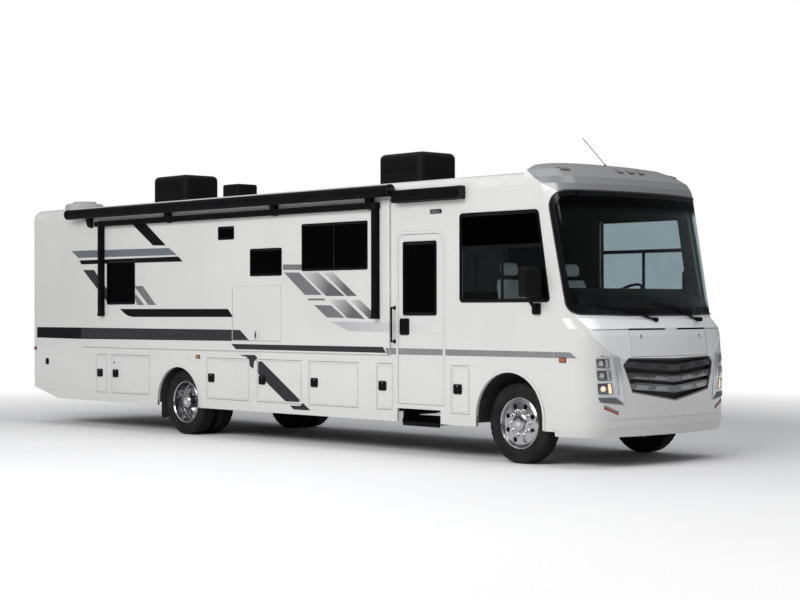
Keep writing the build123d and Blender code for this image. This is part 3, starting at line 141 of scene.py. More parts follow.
class Tree:
    """Node tree with short calls that add nodes to it."""

    def __init__(self, tree):
        self.tree = tree

    def put(self, socket, value):
        """Links an input to a socket, or sets its number, vector or colour."""
        if isinstance(value, bpy.types.NodeSocket):
            self.tree.links.new(value, socket)
        else:
            socket.default_value = (*value, 1.0) if socket.type == "RGBA" else value

    def node(self, kind, inputs, **options):
        """New node with its options set and its inputs linked or set."""
        node = self.tree.nodes.new(f"ShaderNode{kind}")
        for key, value in options.items():
            setattr(node, key, value)
        for key, value in inputs.items():
            self.put(node.inputs[key], value)
        return node

    def maths(self, operation, a, b):
        return self.node("Math", {0: a, 1: b}, operation=operation).outputs["Value"]

    def times(self, a, b):
        return self.maths("MULTIPLY", a, b)

    def plus(self, a, b):
        return self.maths("ADD", a, b)

    def mix(self, factor, a, b):
        """Colour a where factor is 0 and colour b where it is 1."""
        return self.node("Mix", {"Factor": factor, 6: a, 7: b}, data_type="RGBA").outputs[2]

    def span(self, source, low, high, start=0.0, end=1.0):
        """Maps start..end to low..high, and holds those beyond."""
        inputs = {"Value": source, "From Min": start, "From Max": end, "To Min": low, "To Max": high}
        return self.node("MapRange", inputs).outputs["Result"]


class Paint(Tree):
    """New node material over object coordinates."""

    def __init__(self, name):
        self.mat = bpy.data.materials.new(name)
        self.mat.use_nodes = True
        super().__init__(self.mat.node_tree)
        self.body = self.tree.nodes["Principled BSDF"]
        self.coords = self.node("TexCoord", {}).outputs
        self.place = self.coords["Object"]

    def axis(self, name):
        """X, Y or Z of the place."""
        return self.node("SeparateXYZ", {"Vector": self.place}).outputs[name]

    def above(self, axis, value):
        return self.maths("GREATER_THAN", self.axis(axis), value)

    def below(self, axis, value):
        return self.maths("LESS_THAN", self.axis(axis), value)

    def noise(self, scale, detail=4.0, stretch=(1.0, 1.0, 1.0)):
        place = self.node("Mapping", {"Vector": self.place, "Scale": stretch}).outputs["Vector"]
        return self.node("TexNoise", {"Vector": place, "Scale": scale, "Detail": detail}).outputs["Fac"]

    def cells(self, scale):
        return self.node("TexVoronoi", {"Vector": self.place, "Scale": scale}).outputs["Distance"]

    def ramp(self, source, low, high, start=0.35, end=0.65):
        """Colour ramp from low to high."""
        node = self.node("ValToRGB", {"Fac": source})
        for stop, place, colour in zip(node.color_ramp.elements, (start, end), (low, high)):
            stop.position = place
            stop.color = (*colour, 1.0)
        return node.outputs["Color"]

    def tone(self, source, colour, low, high, start=0.35, end=0.65):
        """Colour ramp between two shades of a colour."""
        return self.ramp(source, shade(colour, low), shade(colour, high), start, end)

    def bump(self, source, strength, distance=0.001):
        inputs = {"Height": source, "Strength": strength, "Distance": distance}
        self.put(self.body.inputs["Normal"], self.node("Bump", inputs).outputs["Normal"])

    def set(self, **values):
        """Material with inputs of its principled shader set or linked, by their short names."""
        for key, value in values.items():
            self.put(self.body.inputs[INPUTS[key]], value)
        return self.mat


# ---------------------------------------------------------------- materials
WHITE = (0.60, 0.597, 0.587)
SILVER = (0.80, 0.805, 0.81)
SILVER_METAL = 0.22
# painted shade: the brow's silver paint given a dark grey, darker than the cowl's silver
BROW_SHADED_SILVER = (0.215, 0.217, 0.223)
# tone that the white skin is mixed towards near the bottom
LOW_DARK_TONE = (0.42, 0.40, 0.37)
# painted shade: near-black given to the inner faces of the shells, for the gloom inside the body
INSIDE_SHADE_TONE = (0.016, 0.015, 0.014)
BLACK = (0.006, 0.006, 0.0065)
DARK_TINT = (0.012, 0.014, 0.016)
DARK_RUBBER = (0.007, 0.007, 0.007)
DUSTY_RUBBER = (0.017, 0.0165, 0.0155)
SUN_BAND = (0.004, 0.018, 0.022)
SUN_BAND_Z = (2.85, 2.93)
ROOF_EDGE_Z = 3.30
EDGE_SOFT = 0.004
# the cab's side glass is light in front of this and, on the right, below its bar; above that bar the glass
# carries painted shade of the cab's inside
CAB_GLASS_X = 3.3
CAB_BAR_Z = 2.47
# lines that bound the silver cowl below and outside in front view, y0, z0, y1, z1, and the brow in side view
COWL_LINES = [(0.823, 1.222, 1.018, 1.31), (1.018, 1.31, 1.153, 1.45), (1.153, 1.45, 1.223, 1.72)]
COWL_TOP_Z = 1.9
COWL_REAR_X = 5.25
BROW_FRONT_LINE = (5.112, 3.085, 4.577, 3.38)


def finish(name, colour, rough=0.4, metal=0.0, vary=0.04, scale=3.0, grain=0.0, grain_scale=300.0, coat=0.0,
           rough_vary=0.06, stretch=(1.0, 1.0, 1.0), spec=0.5):
    """Everyday finish: broad colour change, uneven gloss and a fine grain."""
    paint = Paint(name)
    broad = paint.noise(scale, stretch=stretch)
    if grain:
        paint.bump(paint.noise(grain_scale, 3.0, stretch), grain)
    gloss = paint.span(broad, rough - rough_vary, rough + rough_vary)
    tone = paint.tone(broad, colour, 1 - vary, 1 + vary)
    return paint.set(colour=tone, rough=gloss, metal=metal, coat=coat, coat_rough=0.06, spec=spec)


def facing_in(paint, centre):
    """1 on faces that look towards centre, which are the inner faces of a shell round it."""
    offset = paint.node("VectorMath", {0: paint.place, 1: centre}, operation="SUBTRACT").outputs["Vector"]
    ahead = paint.node("VectorMath", {0: offset, 1: paint.coords["Normal"]}, operation="DOT_PRODUCT")
    return paint.maths("LESS_THAN", ahead.outputs["Value"], 0.0)


def above_line(paint, across, y0, z0, y1, z1):
    """1 above the line through (y0, z0) and (y1, z1), with a soft edge."""
    slope = (z1 - z0) / (y1 - y0)
    line = paint.plus(paint.times(across, slope), z0 - slope * y0)
    return paint.span(paint.maths("SUBTRACT", paint.axis("Z"), line), 0.0, 1.0, -EDGE_SOFT, EDGE_SOFT)


def nose_silver(paint):
    """Silver on the cowl under the windscreen and on the brow over it."""
    across = paint.maths("ABSOLUTE", paint.axis("Y"), 0.0)
    cowl = paint.times(paint.below("Z", COWL_TOP_Z), paint.above("X", COWL_REAR_X))
    for line in COWL_LINES:
        cowl = paint.maths("MINIMUM", cowl, above_line(paint, across, *line))
    return cowl, above_line(paint, paint.axis("X"), *BROW_FRONT_LINE)


def gelcoat(name, centre=None, silver=None):
    """White gloss body skin, darker low down, with painted shade on inner faces and silver where a mask is
    given.
    """
    paint = Paint(name)
    broad = paint.noise(0.8, 3.0)
    # darker towards the bottom: up to 0.16 of the low dark tone below z 0.35, none above z 0.9
    low_darkening = paint.times(paint.span(broad, 0.2, 1.0), paint.span(paint.axis("Z"), 0.16, 0.0, 0.35, 0.9))
    tone = paint.mix(low_darkening, paint.tone(broad, WHITE, 0.97, 1.02), LOW_DARK_TONE)
    rough = paint.span(broad, 0.2, 0.3)
    if silver:
        cowl, brow = silver(paint)
        mask = paint.maths("MAXIMUM", cowl, brow)
        flake = paint.noise(900.0, 1.0)
        # the brow's silver is darker than the cowl's: painted shade
        for part, colour in ((cowl, SILVER), (brow, BROW_SHADED_SILVER)):
            tone = paint.mix(part, tone, paint.tone(flake, colour, 0.9, 1.12))
        paint.set(metal=paint.times(mask, SILVER_METAL))
        rough = paint.plus(rough, paint.times(mask, 0.08))
    if centre:
        # faces that look in are near-black and rougher: painted shade of the inside
        inside_shade = facing_in(paint, centre)
        tone = paint.mix(inside_shade, tone, INSIDE_SHADE_TONE)
        rough = paint.plus(rough, paint.times(inside_shade, 0.4))
    paint.bump(paint.noise(6.0, 2.0), 0.05, 0.002)
    return paint.set(colour=tone, rough=rough, coat=0.35, coat_rough=0.08)


def sun_band(paint, tone):
    """Tint with a dark band along the windscreen's head."""
    return paint.mix(paint.span(paint.axis("Z"), 0.0, 1.0, *SUN_BAND_Z), tone, SUN_BAND)


def saloon_tint_and_cab_shade(paint, tone):
    """Tint that is dark on the saloon and light in the cab, but dark above the bar of its right window as
    painted shade of the cab's inside.
    """
    low_or_left = paint.maths("MAXIMUM", paint.below("Z", CAB_BAR_Z), paint.above("Y", 0.0))
    return paint.mix(paint.times(paint.above("X", CAB_GLASS_X), low_or_left), DARK_TINT, tone)


def glass(name, tint, change=None, ior=1.45):
    """Tinted glass with faint dust, its tint changed by place where a function is given."""
    paint = Paint(name)
    dust = paint.noise(2.5, 5.0)
    tone = paint.tone(dust, tint, 0.96, 1.0)
    if change:
        tone = change(paint, tone)
    return paint.set(colour=tone, rough=paint.span(dust, 0.02, 0.06), clear=1.0, ior=ior)


def lens(name, colour, rough=0.1):
    """Moulded lamp lens with small cells under a gloss skin."""
    paint = Paint(name)
    cells = paint.cells(120.0)
    paint.bump(cells, 0.25)
    return paint.set(colour=paint.tone(cells, colour, 1.0, 0.55, 0.0, 0.7), rough=rough, coat=1.0)


def lamp_glow(name, colour, strength):
    """Lit lens with an even warm glow."""
    paint = Paint(name)
    tone = paint.tone(paint.cells(90.0), colour, 1.0, 0.7, 0.0, 0.6)
    return paint.set(colour=tone, glow=tone, glow_power=strength, rough=0.12, coat=0.8)


def lamp_places():
    """Lamp lenses by place: dark headlamp pockets, clear slot lamps, coloured markers and tail lamp cells."""
    paint = Paint("lamp_lens")
    cells = paint.cells(120.0)

    def lens_tone(*colour):
        return paint.tone(cells, colour, 1.0, 0.6, 0.0, 0.7)

    amber, red = lens_tone(0.42, 0.10, 0.01), lens_tone(0.34, 0.008, 0.008)
    side = paint.maths("GREATER_THAN", paint.maths("ABSOLUTE", paint.axis("Y"), 0.0), HALF)
    front = paint.mix(paint.below("Z", 0.75), lens_tone(0.018, 0.018, 0.02), lens_tone(0.30, 0.30, 0.31))
    front = paint.mix(paint.maths("MAXIMUM", side, paint.above("Z", 3.0)), front, amber)
    front = paint.mix(paint.above("Z", 3.25), front, lens_tone(0.09, 0.035, 0.02))
    tail = paint.mix(paint.above("Z", 1.222), lens_tone(0.45, 0.45, 0.46), amber)
    tail = paint.mix(paint.above("Z", 1.318), tail, red)
    tail = paint.mix(side, tail, red)
    paint.bump(cells, 0.2)
    return paint.set(colour=paint.mix(paint.below("X", -5.0), front, tail), rough=0.12, coat=0.8)


def fade(name, colour, start, end, along):
    """Stripe film that fades from colour to the body's white between two values of along (x, z weights)."""
    paint = Paint(name)
    place = paint.plus(paint.times(paint.axis("X"), along[0]), paint.times(paint.axis("Z"), along[1]))
    dark = paint.tone(paint.noise(40.0, 2.0), colour, 0.95, 1.05)
    tone = paint.mix(paint.span(place, 0.0, 1.0, start, end), dark, WHITE)
    return paint.set(colour=tone, rough=0.28, coat=0.35)


def leather(name, colour):
    """Grained upholstery leather with soft creases."""
    paint = Paint(name)
    broad = paint.noise(5.0)
    paint.bump(paint.cells(260.0), 0.35, 0.0008)
    tone = paint.tone(broad, colour, 0.9, 1.06)
    return paint.set(colour=tone, rough=paint.span(broad, 0.42, 0.58), sheen=0.15)


def tyre_rubber(name):
    """Dark road rubber with uneven dust."""
    paint = Paint(name)
    broad = paint.noise(7.0, 6.0)
    paint.bump(paint.noise(220.0, 3.0), 0.15)
    tone = paint.ramp(broad, DARK_RUBBER, DUSTY_RUBBER)
    return paint.set(colour=tone, rough=paint.span(broad, 0.55, 0.8), spec=0.15)


def by_place(name, axis, edge, soft, low, high, grain=0.0, spec=0.5):
    """Matt finish with one colour below a place on an axis and another above it."""
    paint = Paint(name)
    broad = paint.noise(3.0)
    tones = [paint.tone(broad, colour, 0.94, 1.05) for colour in (low, high)]
    tone = paint.mix(paint.span(paint.axis(axis), 0.0, 1.0, edge - soft, edge + soft), *tones)
    if grain:
        paint.bump(paint.noise(160.0), grain)
    return paint.set(colour=tone, rough=paint.span(broad, 0.45, 0.55), spec=spec)


MATS = {
    "walls": gelcoat("body_white_lined", centre=(0.0, 0.0, 2.1)),
    "white": gelcoat("body_white"),
    "cap": gelcoat("cap_white_and_silver", centre=(4.72, 0.0, 1.9), silver=nose_silver),
    "rear": gelcoat("rear_white_lined", centre=(-4.8, 0.0, 1.9)),
    "silver": finish("silver_flake", SILVER, 0.3, SILVER_METAL, 0.06, 900.0, coat=0.4),
    "roof_skin": by_place("roof_skin", "Z", ROOF_EDGE_Z, 0.002, WHITE, (0.50, 0.50, 0.49)),
    "roof_gear": by_place("roof_gear", "X", -4.9, 0.01, (0.42, 0.42, 0.42), BLACK, 0.2, 0.08),
    "tint": glass("window_dark_tint", DARK_TINT),
    "screen": glass("windscreen_glass", (0.52, 0.60, 0.615), sun_band, 1.16),
    "side_glass": glass("window_cab_tint", (0.44, 0.51, 0.54), saloon_tint_and_cab_shade, 1.2),
    "black": finish("black_satin", BLACK, 0.38, vary=0.15, grain=0.12, grain_scale=500.0, spec=0.05),
    "gloss_black": finish("black_gloss", (0.004, 0.004, 0.0045), 0.12, vary=0.1, coat=0.12, spec=0.15),
    "awning": finish("awning_black", (0.005, 0.005, 0.0055), 0.5, vary=0.2, grain=0.25, grain_scale=350.0,
                     spec=0.03),
    "chrome": finish("chrome", (0.62, 0.62, 0.63), 0.10, 1.0, 0.02, rough_vary=0.03),
    "dark_chrome": finish("dark_chrome", (0.22, 0.223, 0.23), 0.14, 1.0, 0.06, rough_vary=0.05),
    "polished": finish("polished_alloy", (0.42, 0.42, 0.43), 0.17, 1.0, 0.06, 9.0, rough_vary=0.07),
    "grille": finish("grille_grey", (0.14, 0.142, 0.148), 0.22, 0.9, 0.1, 30.0, coat=0.3),
    "mesh_black": finish("grille_mesh", (0.006, 0.006, 0.006), 0.6, vary=0.3, grain=0.6, grain_scale=260.0),
    "cast": finish("cast_iron", (0.045, 0.043, 0.041), 0.7, 0.4, 0.3, 12.0, 0.5, 120.0),
    "chassis": finish("chassis_black", (0.02, 0.02, 0.021), 0.55, 0.1, 0.25, 6.0, 0.25, 160.0),
    "galvanised": finish("galvanised_sheet", (0.42, 0.43, 0.44), 0.42, 0.85, 0.16, 26.0, 0.08, 60.0),
    "ply": finish("floor_board", (0.05, 0.042, 0.034), 0.6, 0.0, 0.18, 2.0, 0.15, 60.0,
                  stretch=(0.4, 6.0, 6.0)),
    "board": finish("interior_board", (0.035, 0.032, 0.029), 0.5, 0.0, 0.1, 2.0, 0.1, 70.0),
    "liner": finish("wheel_liner", (0.02, 0.02, 0.02), 0.8, 0.0, 0.3, 9.0, 0.4, 120.0),
    "dash": finish("dash_plastic", (0.007, 0.007, 0.0075), 0.62, 0.0, 0.12, 8.0, 0.4, 420.0, spec=0.12),
    "leather": leather("seat_leather", (0.80, 0.77, 0.71)),
    "tyre": tyre_rubber("tyre_rubber"),
    "rubber": finish("flap_rubber", (0.018, 0.018, 0.018), 0.75, 0.0, 0.25, 12.0, 0.3, 180.0),
    "lamp_shell": lamp_places(),
    "lamp_clear": lens("lens_reflector", (0.55, 0.56, 0.58), 0.06),
    "lamp_housing": finish("lamp_housing", (0.56, 0.565, 0.57), 0.16, 0.2, 0.06, coat=0.8),
    "bezel_silver": finish("bezel_silver", (0.62, 0.625, 0.64), 0.26, 0.55, 0.05, coat=0.4),
    "red": lens("lens_red", (0.50, 0.012, 0.012)),
    "smoke": lens("lens_smoke", (0.10, 0.10, 0.11)),
    "glow": lamp_glow("lamp_lit_amber", (1.0, 0.80, 0.50), 0.55),
    "seal": finish("seal_grey", (0.35, 0.35, 0.36), 0.4, vary=0.05),
    "film_pale": fade("film_pale", (0.40, 0.40, 0.415), 1.6, 3.3, (1.0, 0.0)),
}
FILM_COLOURS = {
    "charcoal": (0.034, 0.034, 0.036), "black": (0.006, 0.006, 0.007), "slate": (0.13, 0.14, 0.16),
    "mid_grey": (0.15, 0.15, 0.155), "grey": (0.21, 0.21, 0.215),
}
for label, colour in FILM_COLOURS.items():
    MATS[f"film_{label}"] = finish(f"film_{label}", colour, 0.4, vary=0.05, spec=0.04)

# material: the CAD nodes that have it
NODE_MATS = {
    "cap": "front_cap", "silver": "hood", "screen": "windscreen", "grille": "grille", "lamp_shell": "lamps",
    "walls": "side_walls entry_door slide_wall", "white": "side_skirts kitchen_door", "roof_skin": "roof",
    "rear": "rear_cap", "ply": "floor", "board": "entry_well slide_box", "liner": "luggage_bays wheel_wells",
    "black": "entry_step steering_wheel mirrors wipers", "tint": "entry_door_glass slide_windows",
    "side_glass": "side_windows", "awning": "patio_awning door_awning", "roof_gear": "roof_units",
    "chassis": "frame_rails leaf_springs hitch_receiver", "rubber": "fuel_tank", "galvanised": "exhaust",
    "cast": "front_axle knuckle_right knuckle_left tie_rod rear_axle engine", "dash": "dashboard",
    "polished": "rim_front_right rim_front_left rims_rear_right rims_rear_left", "leather": "cab_seats",
    "gloss_black": "grab_handle",
}
dressed = [(node, mat) for mat, names in NODE_MATS.items() for node in names.split()]
dressed += [(node, "white") for node in nodes if node.startswith("door_") and node != "door_awning"]
for node, mat in dressed:
    for place in nodes[node].material_slots:
        place.material = MATS[mat]


# ---------------------------------------------------------------- shapes
def xz(u, v, depth):
    return (u, depth, v)


def yz(u, v, depth):
    return (depth, u, v)


def xy(u, v, depth):
    return (u, v, depth)


def outline(x0, x1, z0, z1, radius=0.0, steps=5):
    """Rectangle with rounded corners."""
    (x0, x1), (z0, z1) = sorted((x0, x1)), sorted((z0, z1))
    if not radius:
        return [(x0, z0), (x1, z0), (x1, z1), (x0, z1)]
    points = []
    for cx, cz, start in ((x1, z0, -90), (x1, z1, 0), (x0, z1, 90), (x0, z0, 180)):
        mx = cx + (radius if cx == x0 else -radius)
        mz = cz + (radius if cz == z0 else -radius)
        for k in range(steps + 1):
            turn = math.radians(start + 90 * k / steps)
            points.append((mx + radius * math.cos(turn), mz + radius * math.sin(turn)))
    return points


def soften(points, radius, steps=4):
    """Outline with each corner rounded."""
    out = []
    for index, point in enumerate(points):
        here = Vector(point)
        back = Vector(points[index - 1]) - here
        ahead = Vector(points[(index + 1) % len(points)]) - here
        start = here + back.normalized() * min(radius, back.length * 0.45)
        end = here + ahead.normalized() * min(radius, ahead.length * 0.45)
        for k in range(steps + 1):
            t = k / steps
            out.append(tuple((1 - t) ** 2 * start + 2 * t * (1 - t) * here + t * t * end))
    return out


def grow(points, amount):
    """Outline moved outwards by amount, or inwards where it is negative."""
    area = sum(a[0] * b[1] - b[0] * a[1] for a, b in zip(points, points[1:] + points[:1]))
    turn = 1 if area > 0 else -1
    out = []
    for index, point in enumerate(points):
        here = Vector(point)
        one = (here - Vector(points[index - 1])).normalized()
        two = (Vector(points[(index + 1) % len(points)]) - here).normalized()
        n1, n2 = Vector((one.y, -one.x)) * turn, Vector((two.y, -two.x)) * turn
        mid = (n1 + n2).normalized()
        out.append(tuple(here + mid * amount / max(mid.dot(n1), 0.3)))
    return out


def clip(points, axis, value, keep):
    """Part of an outline on one side of a line; keep is 1 above value and -1 below it."""
    out = []
    for a, b in zip(points, points[1:] + points[:1]):
        in_a, in_b = (a[axis] - value) * keep >= 0, (b[axis] - value) * keep >= 0
        if in_a:
            out.append(a)
        if in_a != in_b:
            out.append(lerp(a, b, (value - a[axis]) / (b[axis] - a[axis])))
    return out if len(out) > 2 else []


def inside(points, rect):
    """Part of an outline inside x0, x1, z0, z1."""
    for axis, value, keep in ((0, rect[0], 1), (0, rect[1], -1), (1, rect[2], 1), (1, rect[3], -1)):
        points = clip(points, axis, value, keep) if points else []
    return points


def outside(shapes, rects):
    """Parts of outlines outside every rectangle."""
    for x0, x1, z0, z1 in rects:
        rest = []
        for points in shapes:
            middle = inside(points, (x0, x1, -9, 9))
            parts = [clip(points, 0, x0, -1), clip(points, 0, x1, 1)]
            parts += [clip(middle, 1, z0, -1), clip(middle, 1, z1, 1)] if middle else []
            rest += [part for part in parts if part]
        shapes = rest
    return shapes


def cells(points, step, cuts=()):
    """Outline cut into strips of about step along its first axis, and at cuts along the other."""
    if not points:
        return []
    low, high = min(p[0] for p in points), max(p[0] for p in points)
    count = max(1, round((high - low) / step))
    strips = []
    for k in range(count):
        a, b = low + (high - low) * k / count, low + (high - low) * (k + 1) / count
        bands = [clip(clip(points, 0, a, 1), 0, b, -1)]
        for value in cuts:
            bands = [clip(band, 1, value, keep) for band in bands if band for keep in (-1, 1)]
        strips += [band for band in bands if band]
    return strips


def mirrored(points, sign):
    """Front-view outline drawn for the right side, on the side that sign gives."""
    return [(y * -sign, z) for y, z in points]


class Form:
    """Vertices and faces of one piece, gathered from simple shapes."""

    def __init__(self):
        self.verts = []
        self.faces = []

    def add(self, verts, faces):
        base = len(self.verts)
        self.verts += [tuple(v) for v in verts]
        self.faces += [tuple(base + index for index in face) for face in faces]
        return self

    def loft(self, loops, closed=False):
        """Skin through loops of equal length, capped unless its last loop joins the first."""
        count = len(loops[0])
        faces = []
        for row in range(len(loops) if closed else len(loops) - 1):
            a, b = row * count, (row + 1) % len(loops) * count
            faces += [(a + i, a + (i + 1) % count, b + (i + 1) % count, b + i) for i in range(count)]
        if not closed:
            last = (len(loops) - 1) * count
            faces += [tuple(range(count)), tuple(range(last, last + count))]
        return self.add([v for loop in loops for v in loop], faces)

    def prism(self, points, low, high, place):
        """Outline run between two depths."""
        return self.loft([[place(u, v, depth) for u, v in points] for depth in (low, high)])

    def ring(self, outer, inner, low, high, place):
        """Flat frame between two outlines of equal length."""
        rows = ((outer, low), (outer, high), (inner, high), (inner, low))
        return self.loft([[place(u, v, depth) for u, v in points] for points, depth in rows], closed=True)

    def slab(self, points, wall, low, high):
        """Outline run between two heights over a wall."""
        sign, plane = wall
        return self.prism(points, sign * (plane + low), sign * (plane + high), xz)

    def frame(self, outer, inner, wall, low, high):
        """Flat frame between two heights over a wall."""
        sign, plane = wall
        return self.ring(outer, inner, sign * (plane + low), sign * (plane + high), xz)

    def tube(self, path, radius, sides):
        """Round tube along a path."""
        path = [Vector(p) for p in path]
        loops = []
        normal = None
        for index, point in enumerate(path):
            ahead = path[min(index + 1, len(path) - 1)] - path[max(index - 1, 0)]
            ahead.normalize()
            if normal is None:
                normal = ahead.orthogonal().normalized()
            normal = (normal - ahead * normal.dot(ahead)).normalized()
            across = ahead.cross(normal)
            turns = [2 * math.pi * k / sides for k in range(sides)]
            loops.append([point + (normal * math.cos(t) + across * math.sin(t)) * radius for t in turns])
        return self.loft(loops)

    def spin(self, profile, centre, axis, steps):
        """(radius, height) profile turned about an axis through centre."""
        centre, axis = Vector(centre), Vector(axis).normalized()
        across = axis.orthogonal().normalized()
        up = axis.cross(across)
        turns = [2 * math.pi * k / steps for k in range(steps)]
        ways = [across * math.cos(t) + up * math.sin(t) for t in turns]
        loops = [[centre + axis * height + way * radius for way in ways] for radius, height in profile]
        return self.loft(loops, closed=True)

    def patch(self, points, proud, thick, step):
        """Front-view outline laid on the nose, proud of it and thick."""
        bm = bmesh.new()
        for cell in cells(points, step, [row[0] for row in NOSE_SECTIONS]):
            bm.faces.new([bm.verts.new((nose_x(y, z) + proud, y, z)) for y, z in cell])
        bmesh.ops.remove_doubles(bm, verts=bm.verts, dist=1e-5)
        if thick:
            grown = bmesh.ops.extrude_face_region(bm, geom=bm.faces[:])
            moved = [v for v in grown["geom"] if isinstance(v, bmesh.types.BMVert)]
            bmesh.ops.translate(bm, verts=moved, vec=(-thick, 0, 0))
        bm.verts.index_update()
        self.add([v.co for v in bm.verts], [[v.index for v in f.verts] for f in bm.faces])
        bm.free()
        return self


def piece(name, form, mat, body="coach", bevel=0.0, crease=34.0, flat=False):
    """Object from a form, with beveled edges and its material, on a body."""
    mesh = bpy.data.meshes.new(name)
    mesh.from_pydata(form.verts, [], form.faces)
    bm = bmesh.new()
    bm.from_mesh(mesh)
    bmesh.ops.remove_doubles(bm, verts=bm.verts, dist=2e-5)
    if not flat:
        bmesh.ops.recalc_face_normals(bm, faces=bm.faces)
    if bevel:
        joined = [e for e in bm.edges if len(e.link_faces) == 2]
        sharp = [e for e in joined if e.calc_face_angle(0) > math.radians(crease)]
        bmesh.ops.bevel(bm, geom=sharp, offset=bevel, segments=2, profile=0.6, affect="EDGES",
                        clamp_overlap=True)
    bm.to_mesh(mesh)
    bm.free()
    mesh.shade_smooth()
    mesh.set_sharp_from_angle(angle=math.radians(crease))
    obj = bpy.data.objects.new(name, mesh)
    bpy.context.scene.collection.objects.link(obj)
    mesh.materials.append(MATS[mat])
    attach(obj, body)
    return obj


# ---------------------------------------------------------------- striping film
WINDOW_PAD = 0.012
PANEL_GAP = 0.006
FILM = 0.0012
FILM_STEP = 0.5
NOSE_STEP = 0.025
# the nose begins to curve in from here, and the film ends at the rear cap
CURVE_X = 5.14
COACH = (-5.74, 6.0, 0.0, 4.0)
# windows as x0, x1 (stations), z0, z1
SLIDE_WINDOWS = [(-3.688, -2.447, 2.269, 2.851), (-4.765, -4.124, 2.219, 2.56),
                 (-5.469, -5.141, 2.726, 2.881), (-8.189, -7.489, 1.853, 2.473)]
LEFT_WINDOWS = [(-3.688, -2.447, 1.98, 2.70), (-5.90, -4.90, 1.98, 2.56), (-8.189, -7.489, 1.853, 2.473)]
ENTRY_WINDOW = (-1.805, -1.26, 1.705, 2.561)
CAB_WINDOW = [(-0.845, 2.873), (0.378, 2.873), (0.548, 1.85), (-0.845, 1.85)]
# luggage doors as label, x0, x1 (stations), all of one height
LUGGAGE_Z = (0.535, 1.095)
BAYS = {
    "right": [("a", -8.539, -8.246), ("b", -8.125, -7.139), ("c", -5.786, -4.841), ("d", -4.667, -3.748),
              ("e", -3.597, -2.643), ("f", -2.304, -2.006), ("g", -1.003, -0.699)],
    "left": [("a", -8.539, -7.139), ("b", -5.786, -4.841), ("c", -4.667, -3.748), ("d", -3.597, -2.643)],
}


def widen(rect, pad):
    x0, x1, z0, z1 = rect
    return (x0 - pad, x1 + pad, z0 - pad, z1 + pad)


def station_outline(x0, x1, z0, z1, radius=0.0):
    return outline(st(x0), st(x1), z0, z1, radius)


def button(radius, edge, top_radius, height):
    """Profile of a flat button with a bevelled top, for a spin."""
    return [(0.0, 0.0), (radius, 0.0), (radius, edge), (top_radius, height), (0.0, height)]


def window_holes(rows):
    return [widen((st(x0), st(x1), z0, z1), WINDOW_PAD) for x0, x1, z0, z1 in rows]


def door_rects(side):
    return [(f"door_{side}_{label}", (st(x0), st(x1), *LUGGAGE_Z)) for label, x0, x1 in BAYS[side]]


def film(name, shapes, mat, side):
    """Striping film on every panel that it crosses, cut at the gaps and windows."""
    doors = door_rects(side)
    zones = []
    if side == "right":
        slide_holes = window_holes(SLIDE_WINDOWS) + [widen(KITCHEN, PANEL_GAP)]
        zones.append(("slide_room", SLIDE_Y, widen(SLIDE, -0.001), slide_holes))
        zones.append(("kitchen_door", SLIDE_Y, KITCHEN, []))
        zones.append(("entry_door", HALF, ENTRY, window_holes([ENTRY_WINDOW])))
        holes = [widen(SLIDE, 0.004), widen(ENTRY, PANEL_GAP)]
    else:
        holes = window_holes(LEFT_WINDOWS)
    holes += [widen(rect, PANEL_GAP) for _, rect in doors]
    holes += [(x - 0.003, x + 0.003, 0, 4) for x in (SEAM_X, REAR_SEAM_X)]
    zones += [(body, HALF, rect, []) for body, rect in doors] + [("coach", HALF, COACH, holes)]
    for body, plane, rect, cut in zones:
        form = Form()
        for points in outside([p for p in (inside(points, rect) for points in shapes) if p], cut):
            behind, ahead = clip(points, 0, CURVE_X, -1), clip(points, 0, CURVE_X, 1)
            for cell in cells(behind, FILM_STEP) + cells(ahead, NOSE_STEP):
                spots = []
                for x, z in cell:
                    half = plane if x <= CURVE_X else nose_y(x, z)
                    spots.append((x, SIDES[side] * (half + FILM), z))
                form.add(spots, [tuple(range(len(spots)))])
        if form.faces:
            piece(f"{name}_{side}_{body}", form, mat, body, flat=True)


